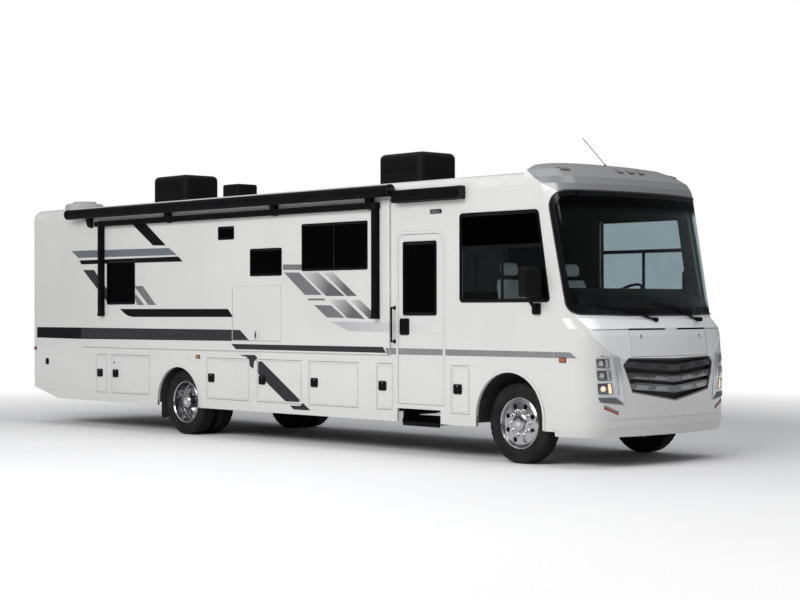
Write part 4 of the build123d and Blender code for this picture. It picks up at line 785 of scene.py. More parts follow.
# name: material and outlines; all are on both sides but film_mid, which is on the right only
STRIPES = {
    "film_belt_black": ("film_black", [[(-5.69, 1.493), (-4.396, 1.493), (-4.396, 1.32), (-5.69, 1.328)]]),
    "film_belt": ("film_charcoal", [
        [(-4.386, 1.493), (-0.657, 1.489), (-0.657, 1.336), (-4.386, 1.321)],
        [(-0.64, 1.489), (-0.481, 1.486), (-0.286, 1.352), (-0.64, 1.35)]]),
    "film_low": ("film_charcoal", [[(-0.679, 1.296), (2.364, 1.3), (2.418, 1.227), (-0.569, 1.226)]]),
    "film_low_grey": ("film_grey", [[(2.408, 1.29), (5.369, 1.284), (5.455, 1.219), (2.43, 1.211)]]),
    "film_up_slate": ("film_slate", [[(-4.693, 2.662), (-2.112, 2.638), (-1.919, 2.534), (-4.498, 2.551)]]),
    "film_up_black": ("film_black", [[(-4.47, 2.512), (-1.895, 2.512), (-1.777, 2.439), (-4.414, 2.45)]]),
    "film_up_slash": ("film_black", [[(-3.031, 3.013), (-2.677, 3.0), (-2.184, 2.675), (-2.503, 2.684)]]),
    "film_low_slash": ("film_charcoal", [[(-4.33, 2.365), (-4.03, 2.36), (-3.40, 1.835), (-3.62, 1.835)]]),
    "film_right_slash": ("film_mid_grey", [
        [(-2.98, 2.107), (-2.76, 2.105), (-2.43, 1.83), (-2.62, 1.83)],
        [(-2.98, 1.98), (-2.92, 1.98), (-2.72, 1.83), (-2.9, 1.83)]]),
    "film_band": ("film_black", [
        [(-3.343, 1.774), (-0.745, 1.77), (-0.634, 1.662), (-3.008, 1.657), (-3.12, 1.672), (-3.22, 1.705)]]),
    "film_mid": ("film_mid_grey", [[(0.434, 2.352), (0.861, 2.343), (0.861, 2.272), (0.434, 2.28)]]),
    "film_pale": ("film_pale", [[(1.391, 1.609), (3.38, 1.592), (3.38, 1.47), (1.716, 1.491)]]),
    "film_skirt": ("film_charcoal", [
        [(-0.537, 1.15), (-0.19, 1.154), (-0.136, 1.115), (-0.212, 1.06), (-0.223, 0.966), (-0.298, 1.004),
         (-0.319, 1.085), (-0.373, 1.124)],
        [(-0.147, 1.075), (-0.062, 1.083), (0.745, 0.587), (0.725, 0.561), (0.45, 0.557), (-0.084, 0.876),
         (-0.148, 0.928)],
        [(0.542, 0.508), (0.745, 0.51), (0.806, 0.551), (0.956, 0.46), (0.613, 0.459)]]),
}
# the fan: plain bars, and others that fade out downwards
FAN_GREY = (0.10, 0.10, 0.104)
FAN_PLAIN = ("a", "bar", "d")
FAN = {
    "a": [(0.455, 2.246), (0.76, 2.241), (1.217, 1.946), (0.88, 1.949)],
    "b": [(0.821, 2.24), (1.139, 2.235), (1.66, 1.93), (1.295, 1.933)],
    "c": [(1.237, 2.233), (1.431, 2.23), (1.887, 1.929), (1.698, 1.93)],
    "bar": [(0.94, 1.903), (1.275, 1.901), (1.275, 1.876), (0.94, 1.877)],
    "d": [(1.059, 1.819), (1.392, 1.812), (1.66, 1.654), (1.314, 1.659)],
    "e": [(1.353, 1.888), (1.66, 1.886), (2.035, 1.642), (1.698, 1.654)],
    "f": [(1.755, 1.88), (1.943, 1.879), (2.31, 1.643), (2.109, 1.643)],
}
for name, (mat, shapes) in STRIPES.items():
    for side in SIDES if name != "film_mid" else ["right"]:
        film(name, shapes, mat, side)
for label, points in FAN.items():
    mat = "film_mid_grey" if label in FAN_PLAIN else f"film_fade_{label}"
    if label not in FAN_PLAIN:
        along = (Vector(points[2]) - Vector(points[1])).normalized()
        reach = [Vector(p).dot(along) for p in points]
        start, stop = min(reach), max(reach)
        MATS[mat] = fade(mat, FAN_GREY, stop - (stop - start) * 0.35, start - 0.1, tuple(along))
    for side in SIDES:
        film(f"film_fan_{label}", [points], mat, side)


# ---------------------------------------------------------------- windows
BAR_CLEAR = 0.012
CAB_BARS = [(st(-0.82), st(0.44), 2.455, 2.50), (st(-0.195), st(-0.150), 1.87, 2.46)]


def window_frame(name, points, wall, body="coach", grow_by=0.014, cover=0.016, corner=0.012):
    """Black frame ring over the edge of a window, with a stepped inner lip."""
    shape = soften(points, corner)
    form = Form().frame(grow(shape, grow_by), grow(shape, -cover * 0.4), wall, -0.004, 0.006)
    form.frame(grow(shape, -cover * 0.3), grow(shape, -cover), wall, -0.0025, 0.002)
    piece(name, form, "gloss_black", body, bevel=0.0015)


def bars(name, boxes, wall, body="coach"):
    """Glazing bars on the outer face of a window; each box is x0, x1, z0, z1."""
    form = Form()
    for box in boxes:
        form.slab(outline(*box), wall, -0.0028, 0.004)
    piece(name, form, "black", body, bevel=0.0015)


def middle_bar(name, row, wall, body="coach"):
    x0, x1, z0, z1 = row
    middle = st((x0 + x1) / 2)
    bars(name, [(middle - BAR_CLEAR, middle + BAR_CLEAR, z0 + BAR_CLEAR, z1 - BAR_CLEAR)], wall, body)


for side, wall in WALLS.items():
    points = [(st(x), z) for x, z in CAB_WINDOW]
    window_frame(f"cab_window_frame_{side}", points, wall, "coach", 0.012, 0.03, 0.045)
    bars(f"cab_window_bars_{side}", CAB_BARS, wall)
for index, row in enumerate(SLIDE_WINDOWS):
    window_frame(f"slide_window_frame_{index}", station_outline(*row), SLIDE_WALL, "slide_room")
    if row[1] - row[0] > 1.0:
        middle_bar(f"slide_window_bar_{index}", row, SLIDE_WALL, "slide_room")
for index, row in enumerate(LEFT_WINDOWS):
    window_frame(f"left_window_frame_{index}", station_outline(*row), LEFT_WALL)
    middle_bar(f"left_window_bar_{index}", row, LEFT_WALL)
window_frame("entry_window_frame", station_outline(*ENTRY_WINDOW), RIGHT_WALL, "entry_door", 0.02, 0.02)

# ---------------------------------------------------------------- latches, handles, small fittings
LATCH_Z = (0.764, 0.881)
LATCH_KEY_Z = 0.862
for side, sign in SIDES.items():
    wall = WALLS[side]
    for label, x0, x1 in BAYS[side]:
        a, b = st(x0) + 0.052, st(x0) + 0.177
        shell = outline(a - 0.004, b + 0.004, *LATCH_Z, 0.02)
        form = Form().frame(shell, grow(shell, -0.022), wall, 0.0, 0.0135)
        form.slab(grow(shell, -0.018), wall, 0.007, 0.0095)
        form.slab(outline(a + 0.03, b - 0.03, 0.79, 0.845, 0.008), wall, 0.009, 0.0125)
        piece(f"latch_{side}_{label}", form, "black", f"door_{side}_{label}", 0.0018)
        spot = ((a + b) / 2, sign * (HALF + 0.0095), LATCH_KEY_Z)
        form = Form().spin(button(0.009, 0.003, 0.006, 0.0045), spot, (0, sign, 0), 20)
        piece(f"latch_key_{side}_{label}", form, "chrome", f"door_{side}_{label}")

a, b = st(-1.861), st(-1.72)
form = Form().slab(outline(a - 0.006, b + 0.006, 1.452, 1.651, 0.022), RIGHT_WALL, 0.0, 0.021)
form.slab(outline(a + 0.03, b - 0.03, 1.50, 1.60, 0.012), RIGHT_WALL, 0.018, 0.029)
pull = [(0.02, 1.49), (0.046, 1.51), (0.046, 1.60), (0.02, 1.62)]
form.tube([(a + 0.035, -(HALF + out), z) for out, z in pull], 0.009, 10)
piece("entry_latch", form, "black", "entry_door", 0.003)
box = (st(-4.677), st(-4.640), 1.370, 1.474)
form = Form().frame(outline(*box, 0.010), outline(*widen(box, -0.007), 0.006), SLIDE_WALL, 0.0, 0.009)
form.slab(outline(*widen(box, -0.006)), SLIDE_WALL, 0.001, 0.004)
form.slab(outline(box[0] + 0.011, box[1] - 0.011, 1.390, 1.454, 0.005), SLIDE_WALL, 0.0035, 0.0125)
piece("kitchen_latch", form, "black", "kitchen_door", 0.0015)

# raised rims of the luggage doors, and the moulded frame round the entry door
for side, sign in SIDES.items():
    for body, rect in door_rects(side):
        rim = outline(*widen(rect, -0.012), 0.045, 8)
        rows = [(rim, -0.001), (grow(rim, -0.001), 0.007), (grow(rim, -0.011), 0.0075),
                (grow(rim, -0.013), -0.001)]
        form = Form().loft([[(u, sign * (HALF + out), v) for u, v in row] for row, out in rows], closed=True)
        piece(f"door_rim_{side}_{body[-1]}", form, "white", body, crease=50.0)
ENTRY_FRAME_FOOT = 0.625
# section of the moulding: outwards from the door, proud of the wall
MOULDING = [(0.0, -0.001), (0.004, 0.008), (0.012, 0.0105), (0.026, 0.0105), (0.034, 0.008), (0.038, -0.001)]
x0, x1, _, z1 = widen(ENTRY, PANEL_GAP)
rows = []
for out_by, proud in MOULDING:
    arch = outline(x0 - out_by, x1 + out_by, 0.0, z1 + out_by, 0.012 + out_by * 2.2, 8)
    arch = [p for p in arch if p[1] > 1.0][::-1]
    line = [(x0 - out_by, ENTRY_FRAME_FOOT)] + arch + [(x1 + out_by, ENTRY_FRAME_FOOT)]
    rows.append([(u, -(HALF + proud), v) for u, v in line])
piece("entry_frame", Form().loft([list(loop) for loop in zip(*rows)]), "white", crease=50.0)

form = Form()
for z in (1.37, 1.78):
    profile = [(0.0135, 0.0), (0.0135, 0.011), (0.017, 0.009), (0.026, 0.004), (0.026, 0.0)]
    form.spin(profile, (st(-1.972), -HALF, z), (0, -1, 0), 28)
piece("grab_handle_roses", form, "gloss_black")

form = Form().slab(station_outline(-1.335, -1.165, 2.908, 2.944, 0.010), RIGHT_WALL, 0.0, 0.020)
piece("porch_light", form, "smoke", bevel=0.004)
rim, hole = (-1.344, -1.156, 2.900, 2.952, 0.014), (-1.334, -1.166, 2.909, 2.943, 0.010)
form = Form().frame(station_outline(*rim), station_outline(*hole), RIGHT_WALL, 0.0, 0.013)
piece("porch_light_base", form, "black", bevel=0.002)

# gaskets of the side marker lamps: name, x, z, half length, half height
MARKERS = [
    ("marker_mid", st(-5.983), 1.105, 0.042, 0.020),
    ("marker_front", st(0.74), 1.196, 0.046, 0.021),
    ("marker_rear", st(-10.25), 1.16, 0.030, 0.018),
]
for side, sign in SIDES.items():
    for name, x, z, half_x, half_z in MARKERS:
        shape = outline(x - half_x, x + half_x, z - half_z, z + half_z, 0.009)
        rim, hole = grow(shape, 0.007), grow(shape, 0.0008)
        rows = ((rim, -0.003), (rim, 0.006), (hole, 0.006), (hole, -0.003))
        form = Form().loft([[(u, sign * ((HALF if u < CURVE_X else nose_y(u, v)) + out), v) for u, v in row]
                            for row, out in rows], closed=True)
        piece(f"{name}_base_{side}", form, "black", bevel=0.001)

# service ports on the right skirt: material, x0, x1 (stations), z0, z1
PORTS = [("black", -9.951, -9.858, 0.915, 1.011), ("white", -9.79, -9.695, 0.61, 0.705)]
for index, (mat, *box) in enumerate(PORTS):
    shape = station_outline(*box, 0.03)
    form = Form().slab(shape, RIGHT_WALL, 0.0, 0.006).slab(grow(shape, -0.014), RIGHT_WALL, 0.005, 0.010)
    piece(f"port_{index}", form, mat, bevel=0.002)
form = Form().spin(button(0.014, 0.004, 0.009, 0.007), (st(-8.052), -HALF, 0.982), (0, -1, 0), 24)
piece("port_key", form, "black", "door_right_b")

# ---------------------------------------------------------------- wheel-arch lips
ARCH_STEPS = 48
ARCH_FOOT_Z = 0.405
# name, centre's x and z, radius
ARCHES = [("front", st(-0.069), 0.522, 0.517), ("rear", st(-6.451), 0.463, 0.49)]
# section of the lip: outwards along the radius, proud of the panel
LIP = ((0.0, -0.02), (0.0, 0.010), (0.006, 0.014), (0.030, 0.012), (0.036, 0.0), (0.036, -0.004))
turns = [math.pi * k / ARCH_STEPS for k in range(ARCH_STEPS + 1)]
ways = [(math.cos(t), math.sin(t)) for t in turns]
for side, sign in SIDES.items():
    for name, x, z, radius in ARCHES:
        spots = [(x + radius * ux, z + radius * uz, ux, uz) for ux, uz in ways]
        spots = [(x + radius, ARCH_FOOT_Z, 1, 0)] + spots + [(x - radius, ARCH_FOOT_Z, -1, 0)]
        form = Form().loft([[(px + ux * out, sign * (HALF + proud), pz + uz * out) for out, proud in LIP]
                            for px, pz, ux, uz in spots])
        piece(f"arch_lip_{name}_{side}", form, "white", crease=50.0)

# ---------------------------------------------------------------- awnings
AWNING_Y = -(SLIDE_Y + 0.092)
AWNING_Z = 3.205
AWNING_X = (st(-9.105), st(-1.93))
ROLL_R = 0.0728
ROLL_SIDES = 40
ROLL_STEPS = 60
ARM_FACE = SLIDE_Y + 0.075
ARM_WALL = (RIGHT, ARM_FACE)
# arms as x0, x1 and the elbow's x (stations), and the foot's z
ARMS = [(-8.331, -8.264, -8.30, 1.67), (-2.284, -2.214, -2.245, 1.649)]
END_BOSS = [(0.0, 0.010), (0.018, 0.010), (0.022, 0.006), (0.050, 0.005), (0.066, 0.003), (0.070, -0.002),
            (0.0, -0.002)]
ELBOW = [(0.0, 0.007), (0.012, 0.007), (0.016, 0.004), (0.036, 0.003), (0.0465, -0.003), (0.0465, -0.02),
         (0.0, -0.02)]
DOOR_AWNING_X = (st(-1.905), st(-0.765))
DOOR_AWNING_Y = HALF + 0.122
form = Form()
for end, way in ((AWNING_X[0] - 0.015, -1), (AWNING_X[1] + 0.015, 1)):
    form.spin(END_BOSS, (end, AWNING_Y, AWNING_Z), (way, 0, 0), 40)
piece("awning_end_bosses", form, "gloss_black", "slide_room")
# wound fabric, slightly uneven round and along the roller, and the hem bar in front of it
section = []
for k in range(ROLL_SIDES):
    turn = 2 * math.pi * k / ROLL_SIDES
    radius = ROLL_R + 0.0012 * math.sin(turn * 3)
    section.append((math.cos(turn) * radius, math.sin(turn) * radius))
start, reach = AWNING_X[0] + 0.018, AWNING_X[1] - AWNING_X[0] - 0.036
loops = []
for k in range(ROLL_STEPS + 1):
    x, sag = start + reach * k / ROLL_STEPS, 1 + 0.004 * math.sin(k * 1.7)
    loops.append([(x, AWNING_Y + u * sag, AWNING_Z + v * sag) for u, v in section])
piece("awning_roll", Form().loft(loops), "awning", "slide_room", crease=60.0)
hem = outline(-0.013, 0.013, -0.024, 0.024, 0.008)
form = Form().loft([[(x, AWNING_Y - 0.062 + u, AWNING_Z - 0.052 + v) for u, v in hem]
                    for x in (AWNING_X[0] + 0.07, AWNING_X[1] - 0.07)])
piece("awning_hem_bar", form, "black", "slide_room", 0.002)
form = Form()
for x0, x1, elbow_x, z0 in ARMS:
    a, b = st(x0), st(x1)
    for low, high in ((a, a + 0.010), (b - 0.010, b)):
        form.slab(outline(low, high, z0 + 0.01, 2.99), ARM_WALL, -0.002, 0.007)
    form.slab(outline(a + 0.024, b - 0.024, z0 + 0.25, 2.93), ARM_WALL, -0.002, 0.010)
    foot = outline(a - 0.006, b + 0.006, z0 - 0.004, z0 + 0.05, 0.01)
    form.slab(foot, SLIDE_WALL, 0.002, ARM_FACE - SLIDE_Y + 0.010)
    form.spin(ELBOW, (st(elbow_x), -(ARM_FACE + 0.008), 3.036), (0, -1, 0), 36)
piece("awning_arm_trim", form, "black", "slide_room", 0.0018)
form = Form()
for z in (3.012, 3.058):
    form.slab(station_outline(-8.42, -2.22, z, z + 0.010), ARM_WALL, -0.002, 0.005)
piece("awning_rail_trim", form, "black", "slide_room", 0.0015)
form = Form()
x0, x1 = DOOR_AWNING_X
for edge, way in ((x0, -1), (x1, 1)):
    cap = soften([(-DOOR_AWNING_Y, 3.048), (-HALF, 3.048), (-HALF, 3.207), (-DOOR_AWNING_Y, 3.207)], 0.03)
    form.loft([[(edge + way * d, y, z) for y, z in cap] for d in (-0.035, 0.006)])
form.slab(outline(x0 + 0.03, x1 - 0.03, 3.058, 3.078), RIGHT_WALL, 0.118, 0.126)
form.slab(outline(x0 + 0.03, x1 - 0.03, 3.10, 3.108), RIGHT_WALL, 0.118, 0.124)
piece("door_awning_trim", form, "gloss_black", bevel=0.002)

# gutter along the left roof edge
GUTTER_Z = 3.192
GUTTER = [(-0.006, -0.004), (0.010, -0.002), (0.012, 0.008), (0.007, 0.012), (0.004, 0.004), (-0.006, 0.004)]
form = Form().loft([[(x, HALF + u, GUTTER_Z + v) for u, v in GUTTER] for x in (-5.66, 4.80)])
piece("gutter_left", form, "white", bevel=0.001)


# ---------------------------------------------------------------- windscreen border and seal
def side_strip(form, line, sign, proud, steps=4, across=5):
    """Band on the nose between pairs of side-view points, given as rows of (outer, inner)."""
    for (a_out, a_in), (b_out, b_in) in zip(line, line[1:]):
        verts = []
        for k in range(steps + 1):
            outer, inner = lerp(a_out, b_out, k / steps), lerp(a_in, b_in, k / steps)
            for m in range(across + 1):
                x, z = lerp(outer, inner, m / across)
                verts.append((x + proud * 0.4, sign * (nose_y(x, z) + proud), z))
        starts = [k * (across + 1) + m for k in range(steps) for m in range(across)]
        form.add(verts, [(i, i + 1, i + across + 2, i + across + 1) for i in starts])


def fillet_corner(before, here, after, radius, steps=8):
    """Points of the arc that rounds a corner."""
    before, here, after = Vector(before), Vector(here), Vector(after)
    one, two = (before - here).normalized(), (after - here).normalized()
    half = one.angle(two) / 2
    centre = here + (one + two).normalized() * (radius / math.sin(half))
    reach = radius / math.tan(half)
    first, last = here + one * reach - centre, here + two * reach - centre
    points = []
    for k in range(steps + 1):
        angle = -first.angle_signed(last) * k / steps
        points.append((centre.x + first.x * math.cos(angle) - first.y * math.sin(angle),
                       centre.y + first.x * math.sin(angle) + first.y * math.cos(angle)))
    return points


def screen_line(points, radius):
    """Edge line with its two rear corners rounded, as places."""
    head, top, low, foot = points
    line = [head] + fillet_corner(head, top, low, radius) + fillet_corner(top, low, foot, radius) + [foot]
    return [(st(x), z) for x, z in line]


def nose_row(half, z):
    """Places across the nose at one height."""
    row = []
    for k in range(SEAL_STEPS + 1):
        y = -half + 2 * half * k / SEAL_STEPS
        row.append((nose_x(y, z) + 0.002, y, z))
    return row


# side view of the windscreen's edge, from the middle of its head round to its foot
SCREEN_EDGE = screen_line([(0.80, 3.088), (0.498, 3.088), (0.788, 1.708), (1.09, 1.694)], 0.17)
SCREEN_INNER = screen_line([(0.80, 3.030), (0.573, 3.030), (0.837, 1.790), (1.09, 1.777)], 0.12)
BORDER_PROUD = 0.0012
SEAL_STEPS = 24
form = Form()
for sign in SIDES.values():
    side_strip(form, list(zip(SCREEN_EDGE, SCREEN_INNER)), sign, BORDER_PROUD)
top_y, low_y = nose_y(st(0.79), 3.088), nose_y(st(1.08), 1.70)
for half, z0, z1 in ((top_y, 3.030, 3.088), (low_y, 1.690, 1.777)):
    form.patch([(-half, z1), (half, z1), (half, z0), (-half, z0)], BORDER_PROUD, 0.0, 0.04)
piece("windscreen_border", form, "gloss_black", flat=True)

edge = []
for a, b in zip(SCREEN_EDGE, SCREEN_EDGE[1:]):
    count = max(1, round(math.dist(a, b) / 0.06))
    for x, z in (lerp(a, b, k / count) for k in range(count)):
        edge.append((x + 0.001, nose_y(x, z) + 0.002, z))
loop = nose_row(top_y, 3.090) + edge + nose_row(-low_y, 1.689) + [(x, -y, z) for x, y, z in reversed(edge)]
piece("windscreen_seal", Form().tube(loop + loop[:1], 0.009, 8), "rubber")

# ---------------------------------------------------------------- grille, lamps and bumper
GRILLE_MOUTH = [(0.0, 1.205), (-0.735, 1.218), (-0.812, 1.141), (-0.690, 0.832), (0.0, 0.722)]
# bars of the grille: z in the middle, z at the outer end, half width
GRILLE_BARS = [(1.096, 1.150, 0.775), (0.975, 1.030, 0.735), (0.855, 0.905, 0.685)]


def both_sides(points):
    """Front-view outline of the right half, closed over the centre line."""
    return points + [(-y, z) for y, z in reversed(points[1:-1])]


form = Form().patch(grow(both_sides(GRILLE_MOUTH), 0.012), -0.066, 0.010, 0.06)
piece("grille_backing", form, "mesh_black", flat=True)
form = Form()
for middle_z, outer_z, half in GRILLE_BARS:
    for lift in (0.036, -0.036):
        rail = [(0.0, middle_z + lift + 0.0025), (-half + 0.03, outer_z + lift + 0.0025),
                (-half + 0.03, outer_z + lift - 0.0025), (0.0, middle_z + lift - 0.0025)]
        form.patch(both_sides(rail), -0.012, 0.016, 0.08)
piece("grille_brightwork", form, "dark_chrome", flat=True)
form = Form()
for sign in SIDES.values():
    for middle_z, outer_z, _ in GRILLE_BARS:
        for near, far in ((0.10, 0.30), (0.42, 0.60)):
            z0, z1 = (middle_z + (outer_z - middle_z) * y / 0.78 for y in (near, far))
            facet = [(near, z0 + 0.020), (far, z1 + 0.022), (far + 0.05, z1 - 0.022),
                     (near + 0.03, z0 - 0.022)]
            form.patch([(sign * y, z) for y, z in facet], -0.0095, 0.006, 0.1)
piece("grille_facets", form, "dark_chrome", flat=True)

# headlamp cluster in front view, right side: the outlines of its three lamps, and its other parts as
# name, material, bevel, outline, corner radius, proud of the nose, thickness
LAMPS = [
    [(-1.142, 1.212), (-1.006, 1.218), (-0.996, 1.108), (-1.136, 1.114)],
    [(-1.140, 1.086), (-0.994, 1.088), (-0.978, 0.972), (-1.133, 0.972)],
    [(-1.137, 0.944), (-0.972, 0.950), (-0.952, 0.826), (-1.128, 0.822)],
]
LIT_LAMP = 2
HOUSING = ("headlamp_housing", "lamp_housing", 0.003,
           [(-1.150, 1.235), (-0.985, 1.246), (-0.862, 1.238), (-0.785, 0.690), (-1.112, 0.725),
            (-1.144, 0.800)],
           0.02, 0.003, 0.010)
LAMP_TRIM = [
    ("headlamp_blade", "bezel_silver", 0.004,
     [(-0.972, 1.226), (-0.876, 1.226), (-0.800, 0.712), (-0.915, 0.800)], 0.014, 0.012, 0.012),
    ("headlamp_pipe", "lamp_clear", 0.002,
     [(-0.952, 1.205), (-0.928, 1.207), (-0.872, 0.815), (-0.902, 0.810)], 0.008, 0.0145, 0.006),
    ("headlamp_foot", "film_slate", 0.003,
     [(-1.134, 0.790), (-0.922, 0.786), (-0.806, 0.702), (-1.108, 0.736)], 0.012, 0.0085, 0.009),
]
SLOT_STREAK = [(-1.062, 0.662), (-0.884, 0.594), (-0.876, 0.608), (-1.060, 0.682)]
HOOD_MARK = [(0.523, 1.476), (0.537, 1.476), (0.535, 1.428), (0.525, 1.428)]


def lamp_part(side, name, mat, bevel, points, corner, proud, thick):
    form = Form().patch(mirrored(soften(points, corner, 3), SIDES[side]), proud, thick, 0.02)
    piece(f"{name}_{side}", form, mat, bevel=bevel)


for side, sign in SIDES.items():
    lamp_part(side, *HOUSING)
    frames, rings, lenses, lit = Form(), Form(), Form(), Form()
    for index, lamp in enumerate(LAMPS):
        frames.patch(soften(mirrored(lamp, sign), 0.014, 3), 0.0065, 0.006, 0.02)
        target = lit if index == LIT_LAMP else lenses
        # reflector on the inner side, projector lens on the outer one
        top, foot = lamp[:2], lamp[3:1:-1]
        window = [lerp(*top, 0.60), lerp(*top, 0.94), lerp(*foot, 0.94), lerp(*foot, 0.60)]
        target.patch(mirrored(soften(grow(window, -0.008), 0.006, 2), sign), 0.0085, 0.003, 0.02)
        y, z = lerp(lerp(lamp[0], lamp[3], 0.5), lerp(lamp[1], lamp[2], 0.5), 0.32)
        y *= -sign
        spot, way = (nose_x(y, z), y, z), nose_normal(y, z)
        bowl = [(0.0, 0.0125), (0.012, 0.0118), (0.022, 0.0095), (0.028, 0.006), (0.028, 0.001), (0.0, 0.001)]
        target.spin(bowl, spot, way, 28)
        rings.spin([(0.028, 0.004), (0.0285, 0.0095), (0.033, 0.0095), (0.036, 0.004)], spot, way, 28)
    piece(f"headlamp_frames_{side}", frames, "smoke", bevel=0.0015)
    piece(f"headlamp_rings_{side}", rings, "chrome")
    piece(f"headlamp_lenses_{side}", lenses, "lamp_clear")
    piece(f"headlamp_lit_{side}", lit, "glow")
    for part in LAMP_TRIM:
        lamp_part(side, *part)
    form = Form().patch(mirrored(SLOT_STREAK, sign), -0.0015, 0.006, 0.02)
    piece(f"slot_lamp_{side}", form, "red", bevel=0.0015)
    # hood pin marks, either side of the bare name panel
    form = Form().patch([(sign * y, z) for y, z in HOOD_MARK], 0.0025, 0.004, 0.02)
    piece(f"hood_mark_{side}", form, "black", "hood", 0.0008)

# dark line along the fold of the cowl on each side: painted shade in the crease
form = Form()
for sign in SIDES.values():
    crease = [(0.70, 1.539), (1.145, 1.533), (1.145, 1.527), (0.70, 1.531)]
    form.patch([(sign * y, z) for y, z in crease], 0.0008, 0.0, 0.03)
piece("cowl_crease", form, "chassis", flat=True)
form = Form()
PLATE_SCREW_Z = 0.63
for y in (-0.15, 0.15):
    spot = (nose_x(y, PLATE_SCREW_Z) - 0.0025, y, PLATE_SCREW_Z)
    form.spin(button(0.011, 0.003, 0.006, 0.0045), spot, (1, 0, 0), 20)
piece("plate_screws", form, "chrome")
# fine lines along the bumper
form = Form()
for z in (0.447, 0.545):
    form.patch([(-1.0, z), (1.0, z), (1.0, z - 0.004), (-1.0, z - 0.004)], 0.0006, 0.0, 0.05)
piece("bumper_lines", form, "seal", flat=True)

# seal that closes the slit between the roof and the brow's rear edge
BROW_SEAL_X = (4.662, 4.674)
BROW_SEAL_FOOT = 3.285
BROW_LINE = [(0.0, 3.403), (0.755, 3.403), (1.001, 3.417), (1.036, 3.403), (1.088, 3.379), (1.143, 3.353),
             (1.175, 3.315)]
form = Form()
crown = [(-y, z) for y, z in reversed(BROW_LINE[1:])] + BROW_LINE
for (y0, z0), (y1, z1) in zip(crown, crown[1:]):
    form.prism([(y0, BROW_SEAL_FOOT), (y1, BROW_SEAL_FOOT), (y1, z1), (y0, z0)], *BROW_SEAL_X, yz)
piece("brow_seal", form, "seal")

# antenna, leaning back
x, y, z = st(0.342), -0.07, 3.405
profile = [(0.0, 0.0), (0.03, 0.0), (0.026, 0.02), (0.014, 0.034), (0.009, 0.05), (0.0, 0.05)]
form = Form().spin(profile, (x, y, z), (0, 0, 1), 24)
form.tube([(x, y, z + 0.04), (x - 0.14, y, z + 0.18), (x - 0.34, y, z + 0.378)], 0.004, 8)
piece("antenna", form, "black")

# ---------------------------------------------------------------- mirrors
MIRROR_X = st(0.430) - 0.060
MIRROR_Y = (1.378, 1.572)
for side, sign in SIDES.items():
    form = Form()
    for z0, z1, corner in ((2.02, 2.212, 0.03), (1.908, 1.998, 0.025)):
        face = outline(sign * MIRROR_Y[0], sign * MIRROR_Y[1], z0, z1, corner)
        form.prism(face, MIRROR_X - 0.003, MIRROR_X + 0.004, yz)
    piece(f"mirror_glass_{side}", form, "chrome", bevel=0.001)
    shell = outline(sign * 1.362, sign * 1.588, 1.892, 2.228, 0.043)
    form = Form().ring(shell, grow(shell, -0.016), MIRROR_X - 0.010, MIRROR_X + 0.002, yz)
    form.prism(outline(sign * 1.41, sign * 1.54, 2.165, 2.188, 0.01), MIRROR_X + 0.104, MIRROR_X + 0.112, yz)
    for z in (1.722, 1.808):
        profile = [(0.0, 0.0), (0.010, 0.0), (0.008, 0.004), (0.0, 0.005)]
        form.spin(profile, (st(0.335), sign * (HALF + 0.032), z), (0, sign, 0), 16)
    piece(f"mirror_trim_{side}", form, "black", bevel=0.002)

# ---------------------------------------------------------------- rear face and roof gear
for side, sign in SIDES.items():
    outer = outline(sign * 1.081, sign * 1.189, 1.121, 1.419, 0.004)
    form = Form().ring(outer, grow(outer, -0.007), REAR_X + 0.020, REAR_X + 0.0008, yz)
    piece(f"tail_lamp_frame_{side}", form, "gloss_black", bevel=0.0012)
plate = outline(-0.17, 0.17, 0.925, 1.085, 0.01)
form = Form().ring(grow(plate, 0.020), plate, REAR_X + 0.011, REAR_X + 0.002, yz)
piece("plate_surround", form, "black", bevel=0.002)
form = Form().prism(grow(plate, -0.003), REAR_X + 0.011, REAR_X + 0.006, yz)
piece("blank_plate", form, "white", bevel=0.001)

FIN_COUNT = 11
FIN_PITCH = 0.04
form = Form()
for x in (st(-2.90), st(-8.016)):
    for k in range(FIN_COUNT):
        y = -0.211 + k * FIN_PITCH
        form.prism(outline(x - 0.435, x - 0.425, y, y + 0.022), 3.48, 3.69, xy)
piece("roof_unit_fins", form, "black", bevel=0.002)

# ---------------------------------------------------------------- tyres
NOTCH = 0.007
# the shoulder, which is notched, by radius and share of the half width
SHOULDER_R = 0.426
SHOULDER_SHARE = 0.7
# half of a tyre's section, from the bead to the middle of the tread: radius, share of the half width
TYRE_ROWS = [
    (0.2945, 0.78), (0.300, 0.86), (0.306, 0.885), (0.312, 0.86), (0.347, 0.965), (0.352, 0.985),
    (0.357, 0.970), (0.376, 0.995), (0.387, 1.0), (0.402, 0.985), (0.408, 0.995), (0.413, 0.975),
    (0.424, 0.93), (0.428, 0.935), (0.444, 0.885), (0.4535, 0.82), (0.4585, 0.74), (0.4595, 0.66),
    (0.4597, 0.50), (0.4597, 0.475), (0.4475, 0.465), (0.4475, 0.415), (0.4597, 0.405), (0.4598, 0.20),
    (0.4598, 0.19), (0.4475, 0.18), (0.4475, 0.13), (0.4598, 0.12), (0.4600, 0.0),
]


def tyre(form, y, x, steps=160):
    """Road tyre with ribs, grooves and notched shoulders, about the wheel's axis."""
    loops = []
    for r, share in [(r, -share) for r, share in TYRE_ROWS] + TYRE_ROWS[-2::-1]:
        shoulder = r > SHOULDER_R and abs(share) > SHOULDER_SHARE
        loop = []
        for k in range(steps):
            turn = 2 * math.pi * k / steps
            radius = r - (NOTCH if shoulder and k % 4 == (0 if share > 0 else 2) else 0.0)
            place_x, place_z = x + radius * math.sin(turn), AXLE_Z + radius * math.cos(turn)
            loop.append((place_x, y + share * TYRE_WIDTH / 2, place_z))
        loops.append(loop)
    return form.loft(loops, closed=True)


